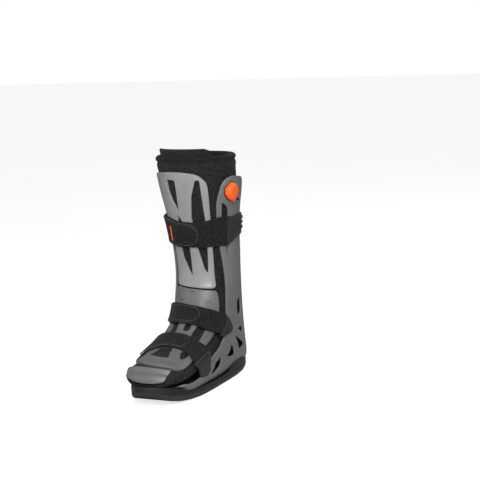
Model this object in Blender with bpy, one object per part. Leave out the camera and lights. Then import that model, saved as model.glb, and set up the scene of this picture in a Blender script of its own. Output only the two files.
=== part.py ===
"""Tall medical walking boot: a padded liner between two hard shells on a rocker sole, closed by straps.

Sizes are in millimetres, and MM turns them into metres. +X is the inner side of the leg, where the pump
is, the toe points to -Y and +Z is up. The origin lies on the sole's flat underside.

The boot's skin is described by sections. A station runs from 0 at the liner's rim, down the leg and along
the foot, to 1.08 under the toe. A degree runs round each section: 0 is the front of the leg and the top of
the foot, 90 the inner side, 180 the back of the leg and the underside of the foot.
"""

import math

import bmesh
import bpy
import numpy as np

MM = 0.001

# Overall sizes
BOOT_HEIGHT = 410.0
BOOT_LENGTH = 320.0
LEG_WIDTH = 142.0
FOOT_WIDTH = 108.0
FLOOR_HEIGHT = 34.0

# Walls and clearances
LINER_WALL = 9.0
FLAP_WALL = 4.5
FLAP_RISE = 12.0
PLATE_WALL = 4.0
BASE_WALL = 4.4
STRAP_WALL = 2.2
TAB_WALL = 2.6
BAND_WALL = 3.0
TAG_WALL = 0.7
LAYER_GAP = 0.5
FOLD_GAP = 0.7
SEAT_GAP = 0.8

# Pump
PUMP_HEIGHT = 10.0
PUMP_GAP = 1.2
PUMP_SINK = 0.4
VALVE_RADIUS = 2.2
VALVE_TOP_RADIUS = 1.9
VALVE_SIDES = 12
VALVE_HEIGHT = 3.5

# Sole
SOLE_TOE_RISE = 31.0
SOLE_HEEL_RISE = 9.0
SOLE_EDGE = 5.0
SOLE_MARGIN = 1.5

# The grid that every piece of the skin is folded along
ROW = 0.04
COLUMN = 15.0
STATION_LENGTH = 520.0
DEGREE_LENGTH = 1.15
SNAP = 0.35
CORNER_STEPS = 2
CORNER_SHARE = 0.45
WINDOW_STEPS = 1
TIP_STEPS = 8
TIP_BULGE = 0.8
MERGE = 0.0001
SHARP_ANGLE = 35.0

# How far a normal's two neighbours lie from it, in stations and degrees
NORMAL_STEP = 0.006
NORMAL_TURN = 1.5

# Corner radii of the flat outlines
FLAP_RADIUS = 14.0
BASE_RADIUS = 8.0
BASE_WINDOW_RADIUS = 3.0
BAND_RADIUS = 6.0
TAB_RADIUS = 9.0
TAG_RADIUS = 0.8

# Columns: station, front y, front height, back y, back height, share of the leg's width, share of the
# foot's width, widest place from front to back, roundness in front, roundness behind. Lengths along y are
# shares of BOOT_LENGTH, and heights are shares of what stands above FLOOR_HEIGHT.
LINER_ROWS = (
    (0.00, -0.003, 1.000, 0.428, 1.000, 0.500, 0.000, 0.50, 2.2, 2.2),
    (0.12, 0.041, 0.840, 0.444, 0.840, 0.465, 0.000, 0.50, 2.2, 2.2),
    (0.24, 0.097, 0.681, 0.459, 0.681, 0.423, 0.000, 0.50, 2.2, 2.2),
    (0.36, 0.134, 0.521, 0.469, 0.521, 0.394, 0.000, 0.50, 2.2, 2.2),
    (0.46, 0.134, 0.402, 0.475, 0.388, 0.380, 0.000, 0.50, 2.2, 2.2),
    (0.53, 0.103, 0.330, 0.481, 0.229, 0.187, 0.245, 0.50, 2.2, 2.2),
    (0.60, 0.031, 0.256, 0.466, 0.069, 0.000, 0.476, 0.55, 2.1, 2.4),
    (0.68, -0.063, 0.194, 0.281, 0.005, 0.000, 0.454, 0.58, 2.1, 3.0),
    (0.80, -0.208, 0.130, -0.141, 0.000, 0.000, 0.472, 0.58, 2.1, 3.0),
    (0.91, -0.361, 0.101, -0.328, 0.000, 0.000, 0.492, 0.60, 2.2, 3.0),
    (0.96, -0.438, 0.090, -0.369, 0.002, 0.000, 0.485, 0.60, 2.3, 3.0),
    (1.00, -0.482, 0.064, -0.391, 0.004, 0.000, 0.450, 0.58, 2.4, 3.0),
    (1.04, -0.502, 0.036, -0.405, 0.006, 0.000, 0.390, 0.55, 2.5, 2.8),
    (1.08, -0.505, 0.012, -0.425, 0.008, 0.000, 0.300, 0.50, 2.6, 2.6),
)
LINER_END = 1.08
HOLLOW_END = 0.96

# Columns: station, back y as a share of BOOT_LENGTH, back height as a share of what stands above
# FLOOR_HEIGHT, roundness behind, flare past the wall as a share of BASE_WALL.
BASE_ROWS = (
    (0.00, 0.436, 1.000, 2.2, 1.7),
    (0.12, 0.452, 0.840, 2.2, 1.4),
    (0.20, 0.459, 0.734, 2.2, 0.4),
    (0.26, 0.461, 0.654, 2.2, 0.0),
    (0.36, 0.469, 0.521, 2.2, 0.0),
    (0.46, 0.475, 0.388, 2.2, 0.1),
    (0.53, 0.484, 0.215, 2.3, 0.3),
    (0.60, 0.496, 0.035, 2.8, 0.6),
    (0.63, 0.498, -0.040, 3.4, 0.8),
    (0.66, 0.430, -0.060, 4.5, 1.1),
    (0.70, 0.225, -0.060, 6.0, 1.1),
    (0.80, -0.147, -0.060, 6.0, 0.8),
    (0.91, -0.334, -0.045, 6.0, 0.0),
    (0.96, -0.380, -0.020, 5.0, -0.1),
    (1.08, -0.440, -0.010, 4.0, -0.2),
)

# Columns: place along y as a share of BOOT_LENGTH, height as a share of FLOOR_HEIGHT.
SOLE_TOP = (
    (-0.560, 1.06),
    (-0.490, 0.94),
    (-0.425, 0.78),
    (-0.360, 0.64),
    (-0.250, 0.53),
    (-0.120, 0.46),
    (0.000, 0.42),
    (0.130, 0.44),
    (0.240, 0.49),
    (0.350, 0.54),
    (0.520, 0.63),
)

# Columns: place along y as a share of BOOT_LENGTH, rise of the underside as a share of the rise at that end.
SOLE_UNDERSIDE = (
    (-0.570, 1.00),
    (-0.540, 0.88),
    (-0.500, 0.58),
    (-0.440, 0.29),
    (-0.360, 0.14),
    (-0.280, 0.05),
    (-0.220, 0.01),
    (-0.190, 0.00),
    (0.260, 0.00),
    (0.360, 0.16),
    (0.440, 0.50),
    (0.530, 1.00),
)

# The sole's outline: its two ends along y as shares of BOOT_LENGTH, and how square each end is.
SOLE_HEEL_Y = 0.520
SOLE_TOE_Y = -0.540
SOLE_HEEL_ROUND = 3.6
SOLE_TOE_ROUND = 2.3
SOLE_POINTS = 44
SOLE_EDGE_SHARE = 0.5

# Outlines on the skin, as (station, degree) corners.
SHIN_OUTLINE = (
    (0.058, -60), (0.051, -24), (0.050, 0), (0.060, 24), (0.088, 37), (0.126, 38), (0.326, 35), (0.442, 36),
    (0.500, 41), (0.502, 14), (0.497, -12), (0.485, -40), (0.440, -39), (0.300, -41),
    (0.200, -50), (0.100, -58),
)
SHIN_WINDOWS = (
    ((0.078, -24), (0.078, -9), (0.110, -9), (0.200, -12), (0.160, -20), (0.120, -24)),
    (
        (0.078, 20), (0.080, 26), (0.230, 27), (0.330, 25.5), (0.434, 24), (0.414, 18), (0.330, 8.5), (0.220, 5.5),
        (0.140, 11),
    ),
    ((0.206, -16), (0.300, -24), (0.370, -20), (0.448, -2.5), (0.334, -4), (0.230, -10)),
)
INSTEP_OUTLINE = (
    (0.491, -41), (0.503, -12), (0.508, 14), (0.508, 42), (0.526, 46), (0.554, 50), (0.600, 54), (0.658, 59),
    (0.734, 61), (0.820, 61), (0.850, 66), (0.928, 66), (0.950, 58), (0.959, 44), (0.964, 16), (0.960, -6),
    (0.936, -34), (0.912, -48), (0.850, -48), (0.740, -46), (0.650, -44), (0.580, -46), (0.540, -44),
)
INSTEP_WINDOWS = (
    ((0.640, 5), (0.640, 17), (0.688, 17), (0.699, 11), (0.688, 5)),
    ((0.636, 28), (0.636, 42), (0.745, 44), (0.800, 42), (0.785, 28), (0.700, 25)),
    ((0.636, -26), (0.636, -8), (0.700, -6), (0.785, -8), (0.796, -22), (0.745, -28)),
    ((0.803, -20), (0.803, 8), (0.850, 10), (0.890, 17), (0.893, 2), (0.872, -24), (0.846, -30)),
    ((0.812, 29), (0.812, 46), (0.845, 48), (0.882, 41), (0.850, 32)),
)
TOE_OUTLINE = (
    (0.964, -50), (0.967, -20), (0.972, 7), (0.971, 27), (0.967, 47), (0.994, 43), (1.016, 46), (1.036, 44),
    (1.050, 22), (1.053, 0), (1.046, -22), (1.022, -46), (0.990, -54),
)

# Columns: name, outline, windows, corner radius of the outline and of the windows.
PLATES = (
    ("shin_plate", SHIN_OUTLINE, SHIN_WINDOWS, 12, 3.5),
    ("instep_plate", INSTEP_OUTLINE, INSTEP_WINDOWS, 10, 6),
    ("toe_cap", TOE_OUTLINE, (), 14, 0),
)

# The base shell's edge from the top at the back to the underside in front. Columns: station, degree on the
# pump's side, degree on the other side. The wing's window is beside the pump only, the others are on both sides.
BASE_EDGE = (
    (0.190, 180, 180), (0.180, 150, 150), (0.140, 124, 128), (0.086, 107, 113), (0.073, 78, 92),
    (0.082, 65, 88), (0.102, 57, 84), (0.134, 52, 80), (0.170, 48, 76), (0.226, 47, 69), (0.330, 48, 57), (0.446, 57, 57),
    (0.574, 65, 65), (0.602, 70, 70), (0.666, 76, 76), (0.706, 82, 82), (0.764, 90, 90), (0.778, 96, 96),
    (0.850, 98, 98), (0.905, 101, 101), (0.950, 110, 110), (0.985, 125, 125), (0.990, 180, 180),
)
WING_WINDOW = ((0.166, 57), (0.187, 68.5), (0.204, 71), (0.300, 68), (0.372, 64.5), (0.300, 61), (0.222, 56))
BASE_WINDOWS = (
    ((0.518, 94), (0.530, 104), (0.552, 104), (0.572, 93), (0.556, 89.5), (0.535, 89.5)),
    ((0.603, 91), (0.580, 105), (0.604, 105)),
    ((0.628, 90), (0.628, 107), (0.660, 98)),
    ((0.664, 90), (0.684, 98), (0.706, 92)),
    ((0.722, 90), (0.734, 95), (0.754, 103), (0.772, 111), (0.770, 97), (0.750, 91)),
)

# Straps: degrees where each one starts and ends, and (degree, upper station, lower station) along it.
CALF_STRAP = (
    (-122, 0.222, 0.318), (-60, 0.216, 0.318), (-33, 0.222, 0.326), (-17, 0.230, 0.326), (6, 0.234, 0.327),
    (27, 0.230, 0.326), (48, 0.222, 0.327), (62, 0.218, 0.329),
)
ANKLE_STRAP = (
    (-64, 0.560, 0.626), (-48, 0.556, 0.630), (-28, 0.562, 0.655), (-2, 0.574, 0.662), (19, 0.578, 0.662),
    (39, 0.578, 0.665), (56, 0.581, 0.661), (64, 0.582, 0.656),
)
FOOT_STRAP = (
    (-66, 0.736, 0.838), (-50, 0.722, 0.838), (-36, 0.712, 0.828), (-12, 0.714, 0.808), (6, 0.719, 0.810),
    (21, 0.722, 0.814), (38, 0.733, 0.822), (56, 0.738, 0.838), (66, 0.742, 0.844),
)
CALF_STRAP_END = -1.0
ANKLE_STRAP_END = 10.0
FOOT_STRAP_END = 18.0
STRAP_END_START = {"calf": -112.0, "ankle": -60.0, "foot": -60.0}
STRAP_END_INSET = 0.004

CALF_BAND = (
    (0.218, 63.3), (0.226, 78), (0.220, 96), (0.226, 120), (0.226, 180), (0.222, 236.5), (0.318, 236.5),
    (0.300, 180), (0.298, 110), (0.306, 84), (0.320, 70), (0.330, 63.3),
)
BAND_SLOTS = ((0.246, 90), (0.262, 91), (0.278, 91))
BAND_SLOT_LENGTH = 5.0
BAND_SLOT_WIDTH = 3.2
ANKLE_TAB = ((0.580, 65.2), (0.600, 75), (0.614, 81.5), (0.641, 79), (0.668, 68), (0.662, 65.2))
FOOT_TAB = ((0.742, 67.2), (0.758, 79), (0.780, 93), (0.798, 98), (0.842, 91), (0.853, 76), (0.848, 67.2))
TAG = ((0.248, -33.5), (0.248, -31), (0.304, -32.5), (0.304, -35))
FLAP = ((0.115, -74), (0, -76), (0, 54), (0.115, 62))

# The pump's outline as (along, across) in millimetres from its middle: along runs down the leg, across
# towards the back.
PUMP_STATION = 0.131
PUMP_DEGREE = 73.0
PUMP_OUTLINE = (
    (-19.0, 1.0), (-15.0, 9.5), (-5.0, 14.0), (7.0, 12.0), (19.0, 2.0), (12.0, -8.5), (2.0, -14.0),
    (-9.0, -12.0),
)
# Columns: how far in from the outline, and height as a share of PUMP_HEIGHT, from the seat to the flat top.
PUMP_LEVELS = ((0.0, 0.55), (2.6, 0.88), (6.0, 1.0))
VALVE_STATION = 0.163
VALVE_DEGREE = 90.0

PLATE_TOP = LAYER_GAP + PLATE_WALL
STRAP_ON_BASE = (30.0, 44.0)
PLATE_PROUD = max(0.0, PLATE_WALL - BASE_WALL)


def at_station(rows, station):
    """Every column of a table at the given stations, on smooth curves that run on straight past the ends."""
    rows = np.asarray(rows, float)
    knots, values = rows[:, 0], rows[:, 1:]
    slopes = np.gradient(values, knots, axis=0)
    inside = np.clip(station, knots[0], knots[-1])
    low = np.clip(np.searchsorted(knots, inside, side="right") - 1, 0, len(knots) - 2)
    span = (knots[low + 1] - knots[low])[..., None]
    t = (inside - knots[low])[..., None] / span
    value = (
        (2 * t**3 - 3 * t**2 + 1) * values[low]
        + (t**3 - 2 * t**2 + t) * span * slopes[low]
        + (3 * t**2 - 2 * t**3) * values[low + 1]
        + (t**3 - t**2) * span * slopes[low + 1]
    )
    end = np.where(station < knots[0], 0, len(knots) - 1)
    return value + (station - inside)[..., None] * slopes[end]


def smooth_step(low, high, value):
    share = np.clip((value - low) / (high - low), 0, 1)
    return share * share * (3 - 2 * share)


def above_floor(share):
    return FLOOR_HEIGHT + share * (BOOT_HEIGHT - FLOOR_HEIGHT)


def oval(front, middle, back, half, front_round, back_round, degree):
    """Points of a section, from its front, widest and back points (y, z), half width and roundness."""
    turn = np.radians(degree)
    ahead, aside = np.cos(turn), np.sin(turn)
    power = 2 / np.where(ahead > 0, front_round, back_round)
    x = half * np.sign(aside) * np.abs(aside) ** power
    end = np.where((ahead > 0)[..., None], front, back)
    yz = middle + (np.abs(ahead) ** power)[..., None] * (end - middle)
    return np.concatenate([x[..., None], yz], axis=-1)


def liner_section(station):
    """The liner's section at each station: front, widest and back points, half width and both roundnesses."""
    columns = np.moveaxis(at_station(LINER_ROWS, station), -1, 0)
    front_y, front_z, back_y, back_z, leg, foot, widest, front_round, back_round = columns
    front = np.stack([front_y * BOOT_LENGTH, above_floor(front_z)], axis=-1)
    back = np.stack([back_y * BOOT_LENGTH, above_floor(back_z)], axis=-1)
    middle = front + widest[..., None] * (back - front)
    half = leg * LEG_WIDTH + foot * FOOT_WIDTH
    return front, middle, back, half, front_round, back_round


def liner_point(station, degree):
    return oval(*liner_section(station), degree)


def base_point(station, degree):
    """A point on the outside of the base shell, which stands flat on the sole."""
    front, middle, back, half, front_round, _ = liner_section(station)
    back_y, back_z, back_round, flare = np.moveaxis(at_station(BASE_ROWS, station), -1, 0)
    forward = (front - back) / np.linalg.norm(front - back, axis=-1, keepdims=True)
    base_front = front + BASE_WALL * forward
    base_back = np.stack([back_y * BOOT_LENGTH + BASE_WALL, above_floor(back_z)], axis=-1)
    base_half = half + BASE_WALL * (1 + flare)
    points = oval(base_front, middle, base_back, base_half, front_round, back_round, degree)
    points[..., 2] = np.maximum(points[..., 2], sole_top(points[..., 1]) + SEAT_GAP)
    return points


def sole_top(y):
    share, height = np.transpose(SOLE_TOP)
    return np.interp(y / BOOT_LENGTH, share, height) * FLOOR_HEIGHT


def sole_underside(y):
    share, rise = np.transpose(SOLE_UNDERSIDE)
    return np.interp(y / BOOT_LENGTH, share, rise) * np.where(y < 0, SOLE_TOE_RISE, SOLE_HEEL_RISE)


def offset_surface(point):
    """The surface at a given distance outside another one, as a function of station, degree and distance."""

    def place(station, degree, distance):
        down = point(station + NORMAL_STEP, degree) - point(station - NORMAL_STEP, degree)
        aside = point(station, degree + NORMAL_TURN) - point(station, degree - NORMAL_TURN)
        normal = np.cross(down, aside)
        normal /= np.linalg.norm(normal, axis=-1, keepdims=True) + 1e-9
        return point(station, degree) + np.asarray(distance)[..., None] * normal

    return place


on_liner = offset_surface(liner_point)
on_base = offset_surface(base_point)


def over_shells(station, degree, distance):
    """A surface over the front plates in front and over the base shell at the sides and behind."""
    turn = np.abs((degree + 180) % 360 - 180)
    share = smooth_step(*STRAP_ON_BASE, turn)[..., None]
    in_front = on_liner(station, degree, PLATE_TOP + distance)
    return (1 - share) * in_front + share * on_base(station, degree, distance + PLATE_PROUD)


def folded(surface, distance):
    """The surface at one distance, flat between the grid's rows and columns, so that layers never cross."""

    def place(station, degree):
        row, column = np.floor(station / ROW + 1e-6), np.floor(degree / COLUMN + 1e-6)
        down, along = (station / ROW - row)[..., None], (degree / COLUMN - column)[..., None]
        away = np.full(row.shape, float(distance))
        corners = [
            [surface((row + i) * ROW, (column + j) * COLUMN, away) for j in (0, 1)] for i in (0, 1)
        ]
        upper = (1 - along) * corners[0][0] + along * corners[0][1]
        lower = (1 - along) * corners[1][0] + along * corners[1][1]
        return (1 - down) * upper + down * lower

    return place


def collection(name):
    made = bpy.data.collections.new(name)
    bpy.context.scene.collection.children.link(made)
    return made


def material(name, color, roughness, metallic=0.0):
    made = bpy.data.materials.new(name)
    made.use_nodes = True
    shader = made.node_tree.nodes["Principled BSDF"]
    shader.inputs["Base Color"].default_value = (*color, 1.0)
    shader.inputs["Roughness"].default_value = roughness
    shader.inputs["Metallic"].default_value = metallic
    return made


def finish(bm, name, home, look):
    """Closes a piece's mesh and puts it in the boot's collection."""
    bmesh.ops.triangulate(bm, faces=bm.faces[:])
    bmesh.ops.recalc_face_normals(bm, faces=bm.faces[:])
    mesh = bpy.data.meshes.new(name)
    bm.to_mesh(mesh)
    bm.free()
    mesh.materials.append(look)
    mesh.shade_smooth()
    mesh.set_sharp_from_angle(angle=math.radians(SHARP_ANGLE))
    made = bpy.data.objects.new(name, mesh)
    home.objects.link(made)
    return made


def raise_face(bm, face, keep):
    """Extrudes one face and gives the new one; the old one stays only where it closes the piece."""
    grown = bmesh.ops.extrude_face_region(bm, geom=[face])["geom"]
    raised = next(item for item in grown if isinstance(item, bmesh.types.BMFace))
    if not keep and face.is_valid:
        bmesh.ops.delete(bm, geom=[face], context="FACES_ONLY")
    return raised


def rounded(corners, radius, steps=CORNER_STEPS):
    """A flat outline in millimetres, across the degrees and down the stations, with its corners rounded."""
    points = np.array([(degree * DEGREE_LENGTH, station * STATION_LENGTH) for station, degree in corners])
    outline = []
    for before, corner, after in zip(np.roll(points, 1, axis=0), points, np.roll(points, -1, axis=0)):
        back, ahead = before - corner, after - corner
        back_length, ahead_length = np.linalg.norm(back), np.linalg.norm(ahead)
        cut = min(radius, CORNER_SHARE * back_length, CORNER_SHARE * ahead_length)
        start, end = corner + back / back_length * cut, corner + ahead / ahead_length * cut
        for t in np.linspace(0, 1, steps + 1):
            outline.append((1 - t) ** 2 * start + 2 * t * (1 - t) * corner + t**2 * end)
    return outline


def flat_sheet(loops):
    """A flat sheet with openings, cut along the grid's rows and columns."""
    bm = bmesh.new()
    for loop in loops:
        corners = [bm.verts.new((u, v, 0)) for u, v in loop]
        for one, other in zip(corners, corners[1:] + corners[:1]):
            bm.edges.new((one, other))
    bmesh.ops.triangle_fill(bm, use_beauty=True, use_dissolve=False, edges=bm.edges[:], normal=(0, 0, 1))
    pitches = (COLUMN * DEGREE_LENGTH, ROW * STATION_LENGTH)
    for axis, pitch in enumerate(pitches):
        places = [corner.co[axis] for corner in bm.verts]
        normal = [0, 0, 0]
        normal[axis] = 1
        for line in range(math.ceil(min(places) / pitch), math.floor(max(places) / pitch) + 1):
            at = [0, 0, 0]
            at[axis] = line * pitch
            everything = bm.verts[:] + bm.edges[:] + bm.faces[:]
            bmesh.ops.bisect_plane(bm, geom=everything, dist=SNAP, plane_co=at, plane_no=normal)

    def on_line(edge):
        for axis, pitch in enumerate(pitches):
            lines = [round(corner.co[axis] / pitch) for corner in edge.verts]
            near = [abs(corner.co[axis] - n * pitch) < 2 * SNAP for corner, n in zip(edge.verts, lines)]
            if all(near) and lines[0] == lines[1]:
                return True
        return False

    spare = [edge for edge in bm.edges if not edge.is_boundary and not on_line(edge)]
    bmesh.ops.dissolve_edges(bm, edges=spare, use_verts=False)
    loose = [corner for corner in bm.verts if len(corner.link_edges) == 2 and not corner.is_boundary]
    bmesh.ops.dissolve_verts(bm, verts=loose)
    return bm


def panel(name, home, look, loops, inner, outer):
    """A wall between two surfaces, with the outline and the openings given as flat loops."""
    bm = flat_sheet(loops)
    lifted = bmesh.ops.extrude_face_region(bm, geom=bm.faces[:])["geom"]
    for corner in lifted:
        if isinstance(corner, bmesh.types.BMVert):
            corner.co.z = 1
    flat = np.array([corner.co for corner in bm.verts])
    station, degree = flat[:, 1] / STATION_LENGTH, flat[:, 0] / DEGREE_LENGTH
    outside = flat[:, 2:] > 0.5
    places = np.where(outside, outer(station, degree), inner(station, degree)) * MM
    for corner, place in zip(bm.verts, places):
        corner.co = place
    return finish(bm, name, home, look)


def strap_outline(table, start, end, inset=0.0, round_end=False):
    """A strap's outline between two degrees, from its table of upper and lower stations."""
    degrees, upper, lower = np.transpose(np.array(table, float))
    inner = [degree for degree in degrees if start + 1 < degree < end - 1]
    along = np.array([start, *inner, end])
    high, low = np.interp(along, degrees, upper) + inset, np.interp(along, degrees, lower) - inset
    corners = list(zip(high, along)) + list(zip(low[::-1], along[::-1]))
    flat = [np.array((degree * DEGREE_LENGTH, station * STATION_LENGTH)) for station, degree in corners]
    if not round_end:
        return flat
    upper_end, lower_end = flat[len(along) - 1], flat[len(along)]
    middle, reach = (upper_end + lower_end) / 2, (lower_end - upper_end) / 2
    bulge = np.array((np.linalg.norm(reach) * TIP_BULGE, 0))
    turns = np.linspace(-math.pi / 2, math.pi / 2, TIP_STEPS + 1)[1:-1]
    tip = [middle + reach * math.sin(turn) + bulge * math.cos(turn) for turn in turns]
    return flat[: len(along)] + tip + flat[len(along) :]


def make_liner(home, look):
    """The padded boot: its inside from the toe up to the rim, and its outside back down round the toe."""
    inside_rows = np.arange(HOLLOW_END, -ROW / 2, -ROW)
    outside_rows = np.arange(0, LINER_END + ROW / 2, ROW)
    stations = np.concatenate([inside_rows, outside_rows])
    walls = np.concatenate([np.full(len(inside_rows), -LINER_WALL), np.zeros(len(outside_rows))])
    columns = round(360 / COLUMN)
    bm = bmesh.new()
    bmesh.ops.create_grid(bm, x_segments=columns, y_segments=len(stations) - 1, size=0.5)
    flat = np.array([corner.co for corner in bm.verts]) + 0.5
    row = np.rint(flat[:, 1] * (len(stations) - 1)).astype(int)
    degree = np.rint(flat[:, 0] * columns) * COLUMN
    places = on_liner(np.clip(stations[row], 0, LINER_END), degree, walls[row]) * MM
    for corner, place in zip(bm.verts, places):
        corner.co = place
    bmesh.ops.remove_doubles(bm, verts=bm.verts[:], dist=MERGE)
    bmesh.ops.holes_fill(bm, edges=[edge for edge in bm.edges if edge.is_boundary], sides=0)
    return finish(bm, "liner", home, look)


def make_flap(home, look):
    """The liner's inner front flap, which stands above the rim."""
    top = -FLAP_RISE / STATION_LENGTH
    corners = [(top if station == 0 else station, degree) for station, degree in FLAP]
    inner = folded(on_liner, -LINER_WALL - LAYER_GAP - FLAP_WALL)
    outer = folded(on_liner, -LINER_WALL - LAYER_GAP)
    return panel("liner_flap", home, look, [rounded(corners, FLAP_RADIUS)], inner, outer)


def make_plates(home, look):
    inner, outer = folded(on_liner, LAYER_GAP), folded(on_liner, PLATE_TOP)
    for name, outline, windows, radius, window_radius in PLATES:
        holes = [rounded(window, window_radius, WINDOW_STEPS) for window in windows]
        panel(name, home, look, [rounded(outline, radius), *holes], inner, outer)


def pump_loop(inset):
    """The pump's outline on the flat sheet, drawn in by an inset."""
    points = np.array([(across, along) for along, across in PUMP_OUTLINE])
    reach = np.linalg.norm(points, axis=1, keepdims=True)
    points = points * (reach - inset) / reach
    return points + (PUMP_DEGREE * DEGREE_LENGTH, PUMP_STATION * STATION_LENGTH)


def make_base(home, look):
    """The hard shell behind the leg and under the foot, with its windows and the pump's opening."""
    pump_side = [(station, degree) for station, degree, _ in BASE_EDGE]
    other_side = [(station, 360 - degree) for station, _, degree in BASE_EDGE[-2:0:-1]]
    loops = [rounded(pump_side + other_side, BASE_RADIUS), rounded(WING_WINDOW, BASE_WINDOW_RADIUS, WINDOW_STEPS)]
    for window in BASE_WINDOWS:
        mirrored = [(station, 360 - degree) for station, degree in window]
        loops.append(rounded(window, BASE_WINDOW_RADIUS, WINDOW_STEPS))
        loops.append(rounded(mirrored, BASE_WINDOW_RADIUS, WINDOW_STEPS))
    loops.append(pump_loop(-PUMP_GAP))
    return panel("base_shell", home, look, loops, folded(on_liner, LAYER_GAP), folded(on_base, 0.0))


def make_straps(home, look):
    """Three straps, each with its free end folded back over it from the outer side."""
    straps = (
        ("calf", CALF_STRAP, CALF_STRAP_END),
        ("ankle", ANKLE_STRAP, ANKLE_STRAP_END),
        ("foot", FOOT_STRAP, FOOT_STRAP_END),
    )
    under = LAYER_GAP
    over = under + STRAP_WALL + FOLD_GAP
    for name, table, end in straps:
        whole = strap_outline(table, table[0][0], table[-1][0])
        free = strap_outline(table, STRAP_END_START[name], end, STRAP_END_INSET, round_end=True)
        for piece, outline, level in ((f"{name}_strap", whole, under), (f"{name}_strap_end", free, over)):
            inner, outer = folded(over_shells, level), folded(over_shells, level + STRAP_WALL)
            panel(piece, home, look, [outline], inner, outer)


def make_tag(home, look):
    level = LAYER_GAP + STRAP_WALL + FOLD_GAP + STRAP_WALL + LAYER_GAP
    inner, outer = folded(over_shells, level), folded(over_shells, level + TAG_WALL)
    return panel("strap_tag", home, look, [rounded(TAG, TAG_RADIUS)], inner, outer)


def make_band(home, look):
    """The bendable band round the back of the calf, with three slots on the inner side."""
    loops = [rounded(CALF_BAND, BAND_RADIUS)]
    for station, degree in BAND_SLOTS:
        tall, wide = BAND_SLOT_WIDTH / 2 / STATION_LENGTH, BAND_SLOT_LENGTH / 2 / DEGREE_LENGTH
        corners = [
            (station - tall, degree - wide), (station - tall, degree + wide), (station + tall, degree + wide),
            (station + tall, degree - wide),
        ]
        loops.append(rounded(corners, BAND_SLOT_WIDTH / 2, WINDOW_STEPS))
    inner, outer = folded(over_shells, LAYER_GAP), folded(over_shells, LAYER_GAP + BAND_WALL)
    return panel("calf_band", home, look, loops, inner, outer)


def make_tabs(home, look):
    """Four bendable tabs that hold the ankle and foot straps to the base shell."""
    inner, outer = folded(over_shells, LAYER_GAP), folded(over_shells, LAYER_GAP + TAB_WALL)
    for name, corners in (("ankle_tab", ANKLE_TAB), ("foot_tab", FOOT_TAB)):
        for side, sign in (("inner", 1), ("outer", -1)):
            mirrored = [(station, sign * degree) for station, degree in corners]
            panel(f"{name}_{side}", home, look, [rounded(mirrored, TAB_RADIUS)], inner, outer)


def pump_frame():
    """The pump's seat on the base shell: a point, and the way out."""
    station, degree = np.array(PUMP_STATION), np.array(PUMP_DEGREE)
    seat = on_base(station, degree, np.array(0.0))
    out = on_base(station, degree, np.array(1.0)) - seat
    return seat, out / np.linalg.norm(out)


def make_pump(home, look):
    """A faceted button that dips into the shell's opening when it is pressed."""
    seat, out = pump_frame()
    levels = [(0.0, -PUMP_SINK)] + [(inset, share * PUMP_HEIGHT) for inset, share in PUMP_LEVELS]
    bm = bmesh.new()
    first = pump_loop(0.0)
    ring = [bm.verts.new((0, 0, 0)) for _ in first]
    face = bm.faces.new(ring)
    rings = [ring]
    for level in range(1, len(levels)):
        face = raise_face(bm, face, keep=level == 1)
        rings.append(list(face.verts))
    for ring, (inset, level) in zip(rings, levels):
        flat = pump_loop(inset)
        station, degree = flat[:, 1] / STATION_LENGTH, flat[:, 0] / DEGREE_LENGTH
        foot = folded(on_base, 0.0)(station, degree)
        uneven = (foot - seat) @ out * smooth_step(0, PUMP_HEIGHT, max(level, 0.0))
        places = foot + out * (level - uneven)[:, None]
        for corner, place in zip(ring, places * MM):
            corner.co = place
    return finish(bm, "pump_button", home, look)


def make_valve(home, look):
    """The pump's small round release valve on the base shell."""
    station, degree = np.array(VALVE_STATION), np.array(VALVE_DEGREE)
    seat = on_base(station, degree, np.array(LAYER_GAP))
    out = on_base(station, degree, np.array(1.0 + LAYER_GAP)) - seat
    bm = bmesh.new()
    bmesh.ops.create_cone(
        bm, cap_ends=True, segments=VALVE_SIDES, depth=VALVE_HEIGHT, radius1=VALVE_RADIUS,
        radius2=VALVE_TOP_RADIUS,
    )
    aside = np.cross((0, 0, 1), out)
    aside /= np.linalg.norm(aside)
    up = np.cross(out, aside)
    flat = np.array([corner.co for corner in bm.verts])
    places = seat + flat[:, :1] * aside + flat[:, 1:2] * up + (flat[:, 2:] + VALVE_HEIGHT / 2) * out
    for corner, place in zip(bm.verts, places * MM):
        corner.co = place
    return finish(bm, "pump_valve", home, look)


def sole_outline(inset=0.0):
    """The sole's outline, square at the heel and rounder at the toe."""
    turns = np.linspace(0, 2 * math.pi, SOLE_POINTS, endpoint=False)
    ahead, aside = np.cos(turns), np.sin(turns)
    power = 2 / np.where(ahead > 0, SOLE_TOE_ROUND, SOLE_HEEL_ROUND)
    half = FOOT_WIDTH / 2 + LAYER_GAP + BASE_WALL + SOLE_MARGIN - inset
    toe, heel = SOLE_TOE_Y * BOOT_LENGTH + inset, SOLE_HEEL_Y * BOOT_LENGTH - inset
    reach = np.where(ahead > 0, toe, heel)
    return half * np.sign(aside) * np.abs(aside) ** power, reach * np.abs(ahead) ** power


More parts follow.
